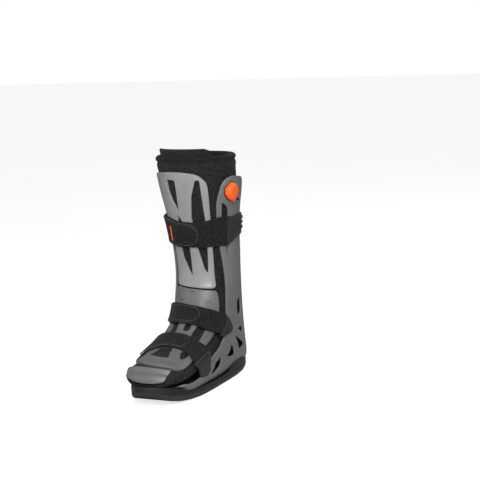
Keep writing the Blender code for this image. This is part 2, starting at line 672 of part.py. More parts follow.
def make_outsole(home, look):
    """The rocker sole: flat under the middle of the foot, rising to the toe and the heel."""
    bm = bmesh.new()
    x, y = sole_outline(SOLE_EDGE)
    lowest = bm.faces.new([bm.verts.new((px, py, 0)) for px, py in zip(x, y)])
    x, y = sole_outline()
    face = raise_face(bm, lowest, keep=True)
    corners = list(face.verts)
    for corner in corners:
        corner.co.z = 1
    x0, y0 = sole_outline(SOLE_EDGE)
    for corner in corners:
        nearest = int(np.argmin((x0 - corner.co.x) ** 2 + (y0 - corner.co.y) ** 2))
        corner.co.x, corner.co.y = x[nearest], y[nearest]
    for corner in raise_face(bm, face, keep=False).verts:
        corner.co.z = 2
    places = sorted({share for share, _ in SOLE_TOP} | {share for share, _ in SOLE_UNDERSIDE})
    for share in places:
        everything = bm.verts[:] + bm.edges[:] + bm.faces[:]
        at = (0, share * BOOT_LENGTH, 0)
        bmesh.ops.bisect_plane(bm, geom=everything, dist=SNAP, plane_co=at, plane_no=(0, 1, 0))
    for corner in bm.verts:
        low, high = float(sole_underside(corner.co.y)), float(sole_top(corner.co.y))
        edge = min(SOLE_EDGE, SOLE_EDGE_SHARE * (high - low))
        corner.co.z = (low, low + edge, high)[round(corner.co.z)]
        corner.co = corner.co * MM
    return finish(bm, "outsole", home, look)


def main():
    for old in list(bpy.data.objects):
        bpy.data.objects.remove(old, do_unlink=True)
    home = collection("medical_walking_boot")
    shell = material("shell_gray", (0.21, 0.21, 0.215), 0.42)
    base = material("base_gray", (0.14, 0.14, 0.143), 0.42)
    felt = material("liner_black", (0.020, 0.020, 0.021), 0.95)
    web = material("strap_black", (0.017, 0.017, 0.018), 0.9)
    tab = material("tab_black", (0.035, 0.035, 0.036), 0.6)
    rubber = material("sole_rubber", (0.045, 0.045, 0.046), 0.75)
    orange = material("pump_orange", (0.95, 0.16, 0.025), 0.45)
    make_outsole(home, rubber)
    make_base(home, base)
    make_liner(home, felt)
    make_flap(home, felt)
    make_plates(home, shell)
    make_straps(home, web)
    make_tag(home, orange)
    make_band(home, tab)
    make_tabs(home, tab)
    make_pump(home, orange)
    make_valve(home, tab)


main()
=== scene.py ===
"""Looks of the tall medical walking boot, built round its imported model.

Sizes are in millimetres, and MM turns them into metres. +X is the inner side of the leg, where the pump
is, the toe points to -Y and +Z is up.

The boot's skin is described by sections. A station runs from 0 at the liner's rim, down the leg and along
the foot, to 1.08 under the toe. A degree runs round each section: 0 is the front of the leg and the top of
the foot, 90 the inner side, 180 the back of the leg and the underside of the foot. Flat walls are cut in
millimetres, across the degrees (u) and down the stations (v), with their thickness along z, and are then
folded over the boot.
"""

import logging
import math
from collections.abc import Callable, Sequence
from dataclasses import dataclass, field
from enum import Enum

import bmesh
import bpy
import numpy as np
from mathutils import Matrix, Vector


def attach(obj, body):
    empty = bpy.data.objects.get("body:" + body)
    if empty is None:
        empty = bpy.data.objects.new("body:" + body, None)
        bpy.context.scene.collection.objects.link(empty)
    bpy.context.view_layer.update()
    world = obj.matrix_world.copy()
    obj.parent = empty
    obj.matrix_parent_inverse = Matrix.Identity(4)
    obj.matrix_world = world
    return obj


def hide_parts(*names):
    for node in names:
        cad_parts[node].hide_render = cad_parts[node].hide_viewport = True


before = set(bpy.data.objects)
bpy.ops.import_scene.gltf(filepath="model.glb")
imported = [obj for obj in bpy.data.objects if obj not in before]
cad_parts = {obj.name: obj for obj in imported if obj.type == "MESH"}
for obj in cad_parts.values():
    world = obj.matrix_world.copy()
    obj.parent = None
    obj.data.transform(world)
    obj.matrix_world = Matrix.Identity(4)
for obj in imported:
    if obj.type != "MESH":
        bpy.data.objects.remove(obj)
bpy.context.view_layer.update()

logger = logging.getLogger("walking_boot")

Array = np.ndarray
Table = Sequence[Sequence[float]]
Loop = list[Array]
Surface = Callable[[Array, Array, Array], Array]

MM = 0.001

# Overall sizes
BOOT_HEIGHT = 410.0
BOOT_LENGTH = 320.0
LEG_WIDTH = 142.0
FOOT_WIDTH = 108.0
FLOOR_HEIGHT = 34.0

# Walls and clearances
LINER_WALL = 9.0
FLAP_WALL = 4.5
FLAP_RISE = 12.0
PLATE_WALL = 4.0
BASE_WALL = 4.4
STRAP_WALL = 2.2
TAB_WALL = 2.6
BAND_WALL = 3.0
TAG_WALL = 0.7
LAYER_GAP = 0.5
FOLD_GAP = 0.7
SEAT_GAP = 0.8

# Pump
PUMP_HEIGHT = 10.0
PUMP_GAP = 1.2
PUMP_SINK = 0.4
VALVE_RADIUS = 2.2
VALVE_TOP_RADIUS = 1.9
VALVE_HEIGHT = 3.5

# Sole
SOLE_TOE_RISE = 31.0
SOLE_HEEL_RISE = 9.0
SOLE_EDGE = 5.0
SOLE_MARGIN = 1.5

# The flat sheet's scale, and the corners of its outlines
STATION_LENGTH = 520.0
DEGREE_LENGTH = 1.15
CORNER_STEPS = 2
CORNER_SHARE = 0.45
TIP_STEPS = 8
TIP_BULGE = 0.8

# How far a normal's two neighbours lie from it, in stations and degrees
NORMAL_STEP = 0.006
NORMAL_TURN = 1.5
TINY = 1e-9

# How the flat walls are cut into facets, in millimetres and radians, and the scale of their flat map
FACET_SNAP = 0.02
LINE_SLACK = 0.05
FLAT_ANGLE = 0.001
UPRIGHT = 0.9
MAP_SCALE = 0.01

# A rounded edge as (inset, sink) shares of its radius, and the width of a stitched line's slopes
EDGE_PROFILE = ((0.0, 1.0), (0.3, 0.3), (0.7, 0.0))
STITCH_SLOPE = 0.45

# Columns: station, front y, front height, back y, back height, share of the leg's width, share of the
# foot's width, widest place from front to back, roundness in front, roundness behind. Lengths along y are
# shares of BOOT_LENGTH, and heights are shares of what stands above FLOOR_HEIGHT.
LINER_ROWS = (
    (0.00, -0.003, 1.000, 0.428, 1.000, 0.500, 0.000, 0.50, 2.2, 2.2),
    (0.12, 0.041, 0.840, 0.444, 0.840, 0.465, 0.000, 0.50, 2.2, 2.2),
    (0.24, 0.097, 0.681, 0.459, 0.681, 0.423, 0.000, 0.50, 2.2, 2.2),
    (0.36, 0.134, 0.521, 0.469, 0.521, 0.394, 0.000, 0.50, 2.2, 2.2),
    (0.46, 0.134, 0.402, 0.475, 0.388, 0.380, 0.000, 0.50, 2.2, 2.2),
    (0.53, 0.103, 0.330, 0.481, 0.229, 0.187, 0.245, 0.50, 2.2, 2.2),
    (0.60, 0.031, 0.256, 0.466, 0.069, 0.000, 0.476, 0.55, 2.1, 2.4),
    (0.68, -0.063, 0.194, 0.281, 0.005, 0.000, 0.454, 0.58, 2.1, 3.0),
    (0.80, -0.208, 0.130, -0.141, 0.000, 0.000, 0.472, 0.58, 2.1, 3.0),
    (0.91, -0.361, 0.101, -0.328, 0.000, 0.000, 0.492, 0.60, 2.2, 3.0),
    (0.96, -0.438, 0.090, -0.369, 0.002, 0.000, 0.485, 0.60, 2.3, 3.0),
    (1.00, -0.482, 0.064, -0.391, 0.004, 0.000, 0.450, 0.58, 2.4, 3.0),
    (1.04, -0.502, 0.036, -0.405, 0.006, 0.000, 0.390, 0.55, 2.5, 2.8),
    (1.08, -0.505, 0.012, -0.425, 0.008, 0.000, 0.300, 0.50, 2.6, 2.6),
)
LINER_END = 1.08
HOLLOW_END = 0.96

# Columns: station, back y as a share of BOOT_LENGTH, back height as a share of what stands above
# FLOOR_HEIGHT, roundness behind, flare past the wall as a share of BASE_WALL.
BASE_ROWS = (
    (0.00, 0.436, 1.000, 2.2, 1.7),
    (0.12, 0.452, 0.840, 2.2, 1.4),
    (0.20, 0.459, 0.734, 2.2, 0.4),
    (0.26, 0.461, 0.654, 2.2, 0.0),
    (0.36, 0.469, 0.521, 2.2, 0.0),
    (0.46, 0.475, 0.388, 2.2, 0.1),
    (0.53, 0.484, 0.215, 2.3, 0.3),
    (0.60, 0.496, 0.035, 2.8, 0.6),
    (0.63, 0.498, -0.040, 3.4, 0.8),
    (0.66, 0.430, -0.060, 4.5, 1.1),
    (0.70, 0.225, -0.060, 6.0, 1.1),
    (0.80, -0.147, -0.060, 6.0, 0.8),
    (0.91, -0.334, -0.045, 6.0, 0.0),
    (0.96, -0.380, -0.020, 5.0, -0.1),
    (1.08, -0.440, -0.010, 4.0, -0.2),
)

# Columns: place along y as a share of BOOT_LENGTH, height as a share of FLOOR_HEIGHT.
SOLE_TOP = (
    (-0.560, 1.06),
    (-0.490, 0.94),
    (-0.425, 0.78),
    (-0.360, 0.64),
    (-0.250, 0.53),
    (-0.120, 0.46),
    (0.000, 0.42),
    (0.130, 0.44),
    (0.240, 0.49),
    (0.350, 0.54),
    (0.520, 0.63),
)

# Columns: place along y as a share of BOOT_LENGTH, rise of the underside as a share of the rise at that end.
SOLE_UNDERSIDE = (
    (-0.570, 1.00),
    (-0.540, 0.88),
    (-0.500, 0.58),
    (-0.440, 0.29),
    (-0.360, 0.14),
    (-0.280, 0.05),
    (-0.220, 0.01),
    (-0.190, 0.00),
    (0.260, 0.00),
    (0.360, 0.16),
    (0.440, 0.50),
    (0.530, 1.00),
)

# The sole's outline: its two ends along y as shares of BOOT_LENGTH, and how square each end is.
SOLE_HEEL_Y = 0.520
SOLE_TOE_Y = -0.540
SOLE_HEEL_ROUND = 3.6
SOLE_TOE_ROUND = 2.3

# Outlines on the skin, as (station, degree) corners.
SHIN_OUTLINE = (
    (0.058, -60), (0.051, -24), (0.050, 0), (0.060, 24), (0.088, 37), (0.126, 38), (0.326, 35), (0.442, 36),
    (0.500, 41), (0.502, 14), (0.497, -12), (0.485, -40), (0.440, -39), (0.300, -41),
    (0.200, -50), (0.100, -58),
)
SHIN_WINDOWS = (
    ((0.078, -24), (0.078, -9), (0.110, -9), (0.200, -12), (0.160, -20), (0.120, -24)),
    (
        (0.078, 20), (0.080, 26), (0.230, 27), (0.330, 25.5), (0.434, 24), (0.414, 18), (0.330, 8.5), (0.220, 5.5),
        (0.140, 11),
    ),
    ((0.206, -16), (0.300, -24), (0.370, -20), (0.448, -2.5), (0.334, -4), (0.230, -10)),
)
INSTEP_OUTLINE = (
    (0.491, -41), (0.503, -12), (0.508, 14), (0.508, 42), (0.526, 46), (0.554, 50), (0.600, 54), (0.658, 59),
    (0.734, 61), (0.820, 61), (0.850, 66), (0.928, 66), (0.950, 58), (0.959, 44), (0.964, 16), (0.960, -6),
    (0.936, -34), (0.912, -48), (0.850, -48), (0.740, -46), (0.650, -44), (0.580, -46), (0.540, -44),
)
INSTEP_WINDOWS = (
    ((0.640, 5), (0.640, 17), (0.688, 17), (0.699, 11), (0.688, 5)),
    ((0.636, 28), (0.636, 42), (0.745, 44), (0.800, 42), (0.785, 28), (0.700, 25)),
    ((0.636, -26), (0.636, -8), (0.700, -6), (0.785, -8), (0.796, -22), (0.745, -28)),
    ((0.803, -20), (0.803, 8), (0.850, 10), (0.890, 17), (0.893, 2), (0.872, -24), (0.846, -30)),
    ((0.812, 29), (0.812, 46), (0.845, 48), (0.882, 41), (0.850, 32)),
)
TOE_OUTLINE = (
    (0.964, -50), (0.967, -20), (0.972, 7), (0.971, 27), (0.967, 47), (0.994, 43), (1.016, 46), (1.036, 44),
    (1.050, 22), (1.053, 0), (1.046, -22), (1.022, -46), (0.990, -54),
)

# The base shell's edge from the top at the back to the underside in front. Columns: station, degree on the
# pump's side, degree on the other side. The wing's window is beside the pump only, the others are on both sides.
BASE_EDGE = (
    (0.190, 180, 180), (0.180, 150, 150), (0.140, 124, 128), (0.086, 107, 113), (0.073, 78, 92),
    (0.082, 65, 88), (0.102, 57, 84), (0.134, 52, 80), (0.170, 48, 76), (0.226, 47, 69), (0.330, 48, 57),
    (0.446, 57, 57),
    (0.574, 65, 65), (0.602, 70, 70), (0.666, 76, 76), (0.706, 82, 82), (0.764, 90, 90), (0.778, 96, 96),
    (0.850, 98, 98), (0.905, 101, 101), (0.950, 110, 110), (0.985, 125, 125), (0.990, 180, 180),
)
WING_WINDOW = ((0.166, 57), (0.187, 68.5), (0.204, 71), (0.300, 68), (0.372, 64.5), (0.300, 61), (0.222, 56))
BASE_WINDOWS = (
    ((0.518, 94), (0.530, 104), (0.552, 104), (0.572, 93), (0.556, 89.5), (0.535, 89.5)),
    ((0.603, 91), (0.580, 105), (0.604, 105)),
    ((0.628, 90), (0.628, 107), (0.660, 98)),
    ((0.664, 90), (0.684, 98), (0.706, 92)),
    ((0.722, 90), (0.734, 95), (0.754, 103), (0.772, 111), (0.770, 97), (0.750, 91)),
)

# Straps: degrees where each one starts and ends, and (degree, upper station, lower station) along it.
CALF_STRAP = (
    (-122, 0.222, 0.318), (-60, 0.216, 0.318), (-33, 0.222, 0.326), (-17, 0.230, 0.326), (6, 0.234, 0.327),
    (27, 0.230, 0.326), (48, 0.222, 0.327), (62, 0.218, 0.329),
)
ANKLE_STRAP = (
    (-64, 0.560, 0.626), (-48, 0.556, 0.630), (-28, 0.562, 0.655), (-2, 0.574, 0.662), (19, 0.578, 0.662),
    (39, 0.578, 0.665), (56, 0.581, 0.661), (64, 0.582, 0.656),
)
FOOT_STRAP = (
    (-66, 0.736, 0.838), (-50, 0.722, 0.838), (-36, 0.712, 0.828), (-12, 0.714, 0.808), (6, 0.719, 0.810),
    (21, 0.722, 0.814), (38, 0.733, 0.822), (56, 0.738, 0.838), (66, 0.742, 0.844),
)
CALF_STRAP_END = -1.0
ANKLE_STRAP_END = 10.0
FOOT_STRAP_END = 18.0
STRAP_END_START = {"calf": -112.0, "ankle": -60.0, "foot": -60.0}
STRAP_END_INSET = 0.004

CALF_BAND = (
    (0.218, 63.3), (0.226, 78), (0.220, 96), (0.226, 120), (0.226, 180), (0.222, 236.5), (0.318, 236.5),
    (0.300, 180), (0.298, 110), (0.306, 84), (0.320, 70), (0.330, 63.3),
)
BAND_SLOTS = ((0.246, 90), (0.262, 91), (0.278, 91))
BAND_SLOT_LENGTH = 5.0
BAND_SLOT_WIDTH = 3.2
ANKLE_TAB = ((0.580, 65.2), (0.600, 75), (0.614, 81.5), (0.641, 79), (0.668, 68), (0.662, 65.2))
FOOT_TAB = ((0.742, 67.2), (0.758, 79), (0.780, 93), (0.798, 98), (0.842, 91), (0.853, 76), (0.848, 67.2))
TAG = ((0.248, -33.5), (0.248, -31), (0.304, -32.5), (0.304, -35))
FLAP = ((0.115, -74), (0, -76), (0, 54), (0.115, 62))

# The pump's outline as (along, across) in millimetres from its middle: along runs down the leg, across
# towards the back.
PUMP_STATION = 0.131
PUMP_DEGREE = 73.0
PUMP_OUTLINE = (
    (-19.0, 1.0), (-15.0, 9.5), (-5.0, 14.0), (7.0, 12.0), (19.0, 2.0), (12.0, -8.5), (2.0, -14.0),
    (-9.0, -12.0),
)
# Columns: how far in from the outline, and height as a share of PUMP_HEIGHT, from the seat to the flat top.
PUMP_LEVELS = ((0.0, 0.55), (2.6, 0.88), (6.0, 1.0))
VALVE_STATION = 0.163
VALVE_DEGREE = 90.0

PLATE_TOP = LAYER_GAP + PLATE_WALL
STRAP_ON_BASE = (30.0, 44.0)
PLATE_PROUD = max(0.0, PLATE_WALL - BASE_WALL)


def at_station(rows: Table, station: Array) -> Array:
    """Every column of a table at the given stations, on smooth curves that run on straight past the ends.

    Args:
        rows: rows of the table, each with its station first.
        station: the stations.

    Returns:
        The other columns, along the last axis.
    """
    rows = np.asarray(rows, float)
    knots, values = rows[:, 0], rows[:, 1:]
    slopes = np.gradient(values, knots, axis=0)
    inside = np.clip(station, knots[0], knots[-1])
    low = np.clip(np.searchsorted(knots, inside, side="right") - 1, 0, len(knots) - 2)
    span = (knots[low + 1] - knots[low])[..., None]
    t = (inside - knots[low])[..., None] / span
    value = (
        (2 * t**3 - 3 * t**2 + 1) * values[low]
        + (t**3 - 2 * t**2 + t) * span * slopes[low]
        + (3 * t**2 - 2 * t**3) * values[low + 1]
        + (t**3 - t**2) * span * slopes[low + 1]
    )
    end = np.where(station < knots[0], 0, len(knots) - 1)
    return value + (station - inside)[..., None] * slopes[end]


def smooth_step(low: float, high: float, value: Array) -> Array:
    """A share that eases from 0 at low to 1 at high."""
    share = np.clip((value - low) / (high - low), 0, 1)
    return share * share * (3 - 2 * share)


def above_floor(share: Array) -> Array:
    """Height of a share of what stands above the floor of the liner."""
    return FLOOR_HEIGHT + share * (BOOT_HEIGHT - FLOOR_HEIGHT)


def oval(
    front: Array, middle: Array, back: Array, half: Array,
    front_round: Array, back_round: Array, degree: Array,
) -> Array:
    """Points of a section, from its front, widest and back points (y, z), half width and roundness.

    Args:
        front: front point.
        middle: point where the section is widest.
        back: back point.
        half: half of the width.
        front_round: roundness before the widest point, 2 for an ellipse.
        back_round: roundness behind it.
        degree: turn from the front, positive to the pump's side.

    Returns:
        The points in millimetres, along the last axis.
    """
    turn = np.radians(degree)
    ahead, aside = np.cos(turn), np.sin(turn)
    power = 2 / np.where(ahead > 0, front_round, back_round)
    x = half * np.sign(aside) * np.abs(aside) ** power
    end = np.where((ahead > 0)[..., None], front, back)
    yz = middle + (np.abs(ahead) ** power)[..., None] * (end - middle)
    return np.concatenate([x[..., None], yz], axis=-1)


def liner_section(station: Array) -> tuple[Array, ...]:
    """The liner's section at each station: front, widest and back points, half width and both roundnesses.

    Args:
        station: how far down the leg and along the foot.

    Returns:
        What oval takes before the degree, in its order.
    """
    columns = np.moveaxis(at_station(LINER_ROWS, station), -1, 0)
    front_y, front_z, back_y, back_z, leg, foot, widest, front_round, back_round = columns
    front = np.stack([front_y * BOOT_LENGTH, above_floor(front_z)], axis=-1)
    back = np.stack([back_y * BOOT_LENGTH, above_floor(back_z)], axis=-1)
    middle = front + widest[..., None] * (back - front)
    half = leg * LEG_WIDTH + foot * FOOT_WIDTH
    return front, middle, back, half, front_round, back_round


def liner_point(station: Array, degree: Array) -> Array:
    """A point on the outside of the liner."""
    return oval(*liner_section(station), degree)


def base_point(station: Array, degree: Array) -> Array:
    """A point on the outside of the base shell, which stands flat on the sole.

    Args:
        station: how far down the leg and along the foot.
        degree: turn from the front, positive to the pump's side.

    Returns:
        The points in millimetres, along the last axis.
    """
    front, middle, back, half, front_round, _ = liner_section(station)
    back_y, back_z, back_round, flare = np.moveaxis(at_station(BASE_ROWS, station), -1, 0)
    forward = (front - back) / np.linalg.norm(front - back, axis=-1, keepdims=True)
    base_front = front + BASE_WALL * forward
    base_back = np.stack([back_y * BOOT_LENGTH + BASE_WALL, above_floor(back_z)], axis=-1)
    base_half = half + BASE_WALL * (1 + flare)
    points = oval(base_front, middle, base_back, base_half, front_round, back_round, degree)
    points[..., 2] = np.maximum(points[..., 2], sole_top(points[..., 1]) + SEAT_GAP)
    return points


def sole_top(y: Array) -> Array:
    """Height of the sole's upper side."""
    share, height = np.transpose(SOLE_TOP)
    return np.interp(y / BOOT_LENGTH, share, height) * FLOOR_HEIGHT


def sole_underside(y: Array) -> Array:
    """Height of the sole's underside."""
    share, rise = np.transpose(SOLE_UNDERSIDE)
    return np.interp(y / BOOT_LENGTH, share, rise) * np.where(y < 0, SOLE_TOE_RISE, SOLE_HEEL_RISE)


def offset_surface(point: Callable[[Array, Array], Array]) -> Surface:
    """The surface at a given distance outside another one, as a function of station, degree and distance.

    Args:
        point: the other surface, as a function of station and degree.

    Returns:
        The surface.
    """

    def place(station: Array, degree: Array, distance: Array) -> Array:
        """The point at a distance outside the surface."""
        down = point(station + NORMAL_STEP, degree) - point(station - NORMAL_STEP, degree)
        aside = point(station, degree + NORMAL_TURN) - point(station, degree - NORMAL_TURN)
        normal = np.cross(down, aside)
        normal /= np.linalg.norm(normal, axis=-1, keepdims=True) + TINY
        return point(station, degree) + np.asarray(distance)[..., None] * normal

    return place


on_liner = offset_surface(liner_point)
on_base = offset_surface(base_point)


def over_shells(station: Array, degree: Array, distance: Array) -> Array:
    """A surface over the front plates in front and over the base shell at the sides and behind.

    Args:
        station: how far down the leg and along the foot.
        degree: turn from the front, positive to the pump's side.
        distance: distance outside the surface.

    Returns:
        The points in millimetres, along the last axis.
    """
    turn = np.abs((degree + 180) % 360 - 180)
    share = smooth_step(*STRAP_ON_BASE, turn)[..., None]
    in_front = on_liner(station, degree, PLATE_TOP + distance)
    return (1 - share) * in_front + share * on_base(station, degree, distance + PLATE_PROUD)


def flat_points(places: Table) -> Array:
    """Where (station, degree) places lie on the flat sheet."""
    return np.array([(degree * DEGREE_LENGTH, station * STATION_LENGTH) for station, degree in places])


def rounded(corners: Table, radius: float, steps: int = CORNER_STEPS) -> Loop:
    """A flat outline in millimetres, across the degrees and down the stations, with its corners rounded.

    Args:
        corners: station and degree of each corner.
        radius: how far a rounding starts from its corner.
        steps: facets of a rounding.

    Returns:
        The outline.
    """
    points = flat_points(corners)
    outline = []
    for before, corner, after in zip(np.roll(points, 1, axis=0), points, np.roll(points, -1, axis=0)):
        back, ahead = before - corner, after - corner
        back_length, ahead_length = np.linalg.norm(back), np.linalg.norm(ahead)
        cut = min(radius, CORNER_SHARE * back_length, CORNER_SHARE * ahead_length)
        start, end = corner + back / back_length * cut, corner + ahead / ahead_length * cut
        for t in np.linspace(0, 1, steps + 1):
            outline.append((1 - t) ** 2 * start + 2 * t * (1 - t) * corner + t**2 * end)
    return outline


def strap_outline(
    table: Table, start: float, end: float,
    inset: float = 0.0, round_end: bool = False,
) -> Loop:
    """A strap's outline between two degrees, from its table of upper and lower stations.

    Args:
        table: degree, upper station and lower station of each place along it.
        start: degree where it starts.
        end: degree where it ends.
        inset: how far both long edges are drawn in, as a station.
        round_end: whether its end is a round tip.

    Returns:
        The flat outline.
    """
    degrees, upper, lower = np.transpose(np.array(table, float))
    inner = [degree for degree in degrees if start + 1 < degree < end - 1]
    along = np.array([start, *inner, end])
    high, low = np.interp(along, degrees, upper) + inset, np.interp(along, degrees, lower) - inset
    corners = list(zip(high, along)) + list(zip(low[::-1], along[::-1]))
    flat = list(flat_points(corners))
    if not round_end:
        return flat
    upper_end, lower_end = flat[len(along) - 1], flat[len(along)]
    middle, reach = (upper_end + lower_end) / 2, (lower_end - upper_end) / 2
    bulge = np.array((np.linalg.norm(reach) * TIP_BULGE, 0))
    turns = np.linspace(-math.pi / 2, math.pi / 2, TIP_STEPS + 1)[1:-1]
    tip = [middle + reach * math.sin(turn) + bulge * math.cos(turn) for turn in turns]
    return flat[: len(along)] + tip + flat[len(along) :]


def pump_loop(inset: float) -> Array:
    """The pump's outline on the flat sheet, drawn in by an inset.

    Args:
        inset: the inset.

    Returns:
        The flat outline.
    """
    points = np.array([(across, along) for along, across in PUMP_OUTLINE])
    reach = np.linalg.norm(points, axis=1, keepdims=True)
    points = points * (reach - inset) / reach
    return points + (PUMP_DEGREE * DEGREE_LENGTH, PUMP_STATION * STATION_LENGTH)


def pump_frame() -> tuple[Array, Array]:
    """The pump's seat on the base shell: a point, and the way out."""
    station, degree = np.array(PUMP_STATION), np.array(PUMP_DEGREE)
    seat = on_base(station, degree, np.array(0.0))
    out = on_base(station, degree, np.array(1.0)) - seat
    return seat, out / np.linalg.norm(out)


def sole_outline(inset: float, points: int) -> tuple[Array, Array]:
    """The sole's outline, square at the heel and rounder at the toe.

    Args:
        inset: how far it is drawn in.
        points: number of its points.

    Returns:
        Their x and their y.
    """
    turns = np.linspace(0, 2 * math.pi, points, endpoint=False)
    ahead, aside = np.cos(turns), np.sin(turns)
    power = 2 / np.where(ahead > 0, SOLE_TOE_ROUND, SOLE_HEEL_ROUND)
    half = FOOT_WIDTH / 2 + LAYER_GAP + BASE_WALL + SOLE_MARGIN - inset
    toe, heel = SOLE_TOE_Y * BOOT_LENGTH + inset, SOLE_HEEL_Y * BOOT_LENGTH - inset
    reach = np.where(ahead > 0, toe, heel)
    return half * np.sign(aside) * np.abs(aside) ** power, reach * np.abs(ahead) ** power


def ellipse(station: float, degree: float, down: float, along: float, sides: int = 18) -> Loop:
    """A flat oval loop round a place on the skin, from its half sizes in millimetres.

    Args:
        station: how far down the leg and along the foot.
        degree: turn from the front, positive to the pump's side.
        down: half size down the stations.
        along: half size across the degrees.
        sides: number of its points.

    Returns:
        The loop.
    """
    turns = np.linspace(0, 2 * math.pi, sides, endpoint=False)
    middle = np.array((degree * DEGREE_LENGTH, station * STATION_LENGTH))
    return [middle + (along * math.cos(turn), down * math.sin(turn)) for turn in turns]


def line_loop(points: Table, width: float) -> Loop:
    """A flat loop of an even width that follows a line of (station, degree) places.

    Args:
        points: the places.
        width: the width.

    Returns:
        The loop.
    """
    line = flat_points(points)
    way = np.gradient(line, axis=0)
    way /= np.linalg.norm(way, axis=1, keepdims=True)
    aside = np.stack([-way[:, 1], way[:, 0]], axis=1) * width / 2
    return list(line + aside) + list((line - aside)[::-1])


def round_edge(radius: float) -> tuple[tuple[float, float], ...]:
    """Insets and sinks of the rings that round a wall's outer edge."""
    return tuple((inset * radius, -sink * radius) for inset, sink in EDGE_PROFILE)


def welt(radius: float, margin: float, depth: float) -> tuple[tuple[float, float], ...]:
    """Rings of a rounded edge with a stitched line sunk along it."""
    return (*round_edge(radius), (margin, 0.0), (STITCH_SLOPE, -depth), (STITCH_SLOPE, 0.0))


@dataclass
class Mark:
    """A raised or sunken place on a wall's outer face.

    Attributes:
        loop: its flat outline.
        height: how far it stands out, or less than 0 where it is sunk.
        slope: width of its sloping side.
    """

    loop: Loop
    height: float
    slope: float = 0.5


@dataclass
class Wall:
    """A wall cut from a flat sheet and folded over the boot.

    Attributes:
        name: name of the piece.
        outline: flat outline.
        surface: the surface that it is folded over.
        inner: distance of its inner face from that surface.
        thickness: thickness of the wall.
        rings: inset and sink of each ring along its outer edge.
        openings: flat loops that are cut out of it.
        marks: raised and sunken places on its outer face.
        pitch: width of its facets.
        relief: height added to the outer face at a station and degree.
    """

    name: str
    outline: Loop
    surface: Surface
    inner: float
    thickness: float
    rings: tuple[tuple[float, float], ...]
    openings: list[Loop] = field(default_factory=list)
    marks: list[Mark] = field(default_factory=list)
    pitch: float = 4.0
    relief: Callable[[Array, Array], Array] | None = None

    def cut(self) -> bmesh.types.BMesh:
        """Cuts the flat wall with its openings, rounded edges and marks.

        Returns:
            The wall as a closed flat mesh, with its thickness along z.
        """
        bm = bmesh.new()
        tag = bm.faces.layers.int.new("mark")
        loops = [self.outline, *self.openings, *[mark.loop for mark in self.marks]]
        rims = [self._ring(bm, loop) for loop in loops]
        every = [edge for rim in rims for edge in rim]
        bmesh.ops.triangle_fill(bm, use_beauty=True, edges=every, normal=(0, 0, 1))
        for index, rim in enumerate(rims[len(self.openings) + 1 :], start=1):
            filled = bmesh.ops.triangle_fill(bm, use_beauty=True, edges=rim, normal=(0, 0, 1))["geom"]
            for item in filled:
                if isinstance(item, bmesh.types.BMFace):
                    item[tag] = index
        lifted = bmesh.ops.extrude_face_region(bm, geom=bm.faces[:])["geom"]
        top = [item for item in lifted if isinstance(item, bmesh.types.BMFace)]
        for inset, sink in self.rings:
            if inset > 0:
                bmesh.ops.inset_region(bm, faces=top, thickness=inset, use_boundary=True, use_even_offset=False)
            for corner in {corner for face in top for corner in face.verts}:
                corner.co.z = self.thickness + sink
        for index, mark in enumerate(self.marks, start=1):
            raised = [face for face in top if face[tag] == index]
            bmesh.ops.inset_region(bm, faces=raised, thickness=mark.slope, use_boundary=True, use_even_offset=False)
            for corner in {corner for face in raised for corner in face.verts}:
                corner.co.z = self.thickness + mark.height
        self._facet(bm, tag)
        return bm

    @staticmethod
    def _ring(bm: bmesh.types.BMesh, loop: Loop) -> list[bmesh.types.BMEdge]:
        """Adds one closed loop of edges to the flat sheet."""
        corners = [bm.verts.new((float(u), float(v), 0)) for u, v in loop]
        return [bm.edges.new(pair) for pair in zip(corners, corners[1:] + corners[:1])]

    def _facet(self, bm: bmesh.types.BMesh, tag: bmesh.types.BMLayerItem) -> None:
        """Cuts the wall into even facets, and drops the other edges of its flat faces.

        Args:
            bm: the flat wall.
            tag: layer that holds the number of each face's mark.
        """
        flat = np.array([corner.co for corner in bm.verts])
        for axis in (0, 1):
            normal = [0, 0, 0]
            normal[axis] = 1
            low, high = flat[:, axis].min() / self.pitch, flat[:, axis].max() / self.pitch
            for line in range(math.ceil(low), math.floor(high) + 1):
                at = [0, 0, 0]
                at[axis] = line * self.pitch
                everything = bm.verts[:] + bm.edges[:] + bm.faces[:]
                bmesh.ops.bisect_plane(bm, geom=everything, dist=FACET_SNAP, plane_co=at, plane_no=normal)
        spare = []
        for edge in bm.edges:
            if len(edge.link_faces) != 2 or edge.calc_face_angle(1.0) > FLAT_ANGLE:
                continue
            one, other = edge.link_faces
            start, end = edge.verts
            on_line = any(
                abs(start.co[axis] - end.co[axis]) < LINE_SLACK
                and abs(start.co[axis] / self.pitch - round(start.co[axis] / self.pitch)) * self.pitch < LINE_SLACK
                for axis in (0, 1)
            )
            if not on_line and one[tag] == other[tag]:
                spare.append(edge)
        bmesh.ops.dissolve_edges(bm, edges=spare, use_verts=False)

    def build(self, finishes: Sequence[bpy.types.Material]) -> bpy.types.Object:
        """Folds the wall over the boot.

        Args:
            finishes: its finish, and after it that of its cut edge if it has one.

        Returns:
            The finished piece.
        """
        bm = self.cut()
        flat = np.array([corner.co for corner in bm.verts])
        station, degree = flat[:, 1] / STATION_LENGTH, flat[:, 0] / DEGREE_LENGTH
        out = flat[:, 2].copy()
        if self.relief is not None:
            out += self.relief(station, degree) * np.clip(out / self.thickness, 0, 1)
        uv = bm.loops.layers.uv.new("flat")
        for face in bm.faces:
            if len(finishes) > 1 and abs(face.normal.z) < UPRIGHT:
                face.material_index = 1
            for corner in face.loops:
                corner[uv].uv = corner.vert.co.xy * MAP_SCALE
        places = self.surface(station, degree, self.inner + out) * MM
        for corner, place in zip(bm.verts, places):
            corner.co = place
        return finish_piece(bm, self.name, finishes)


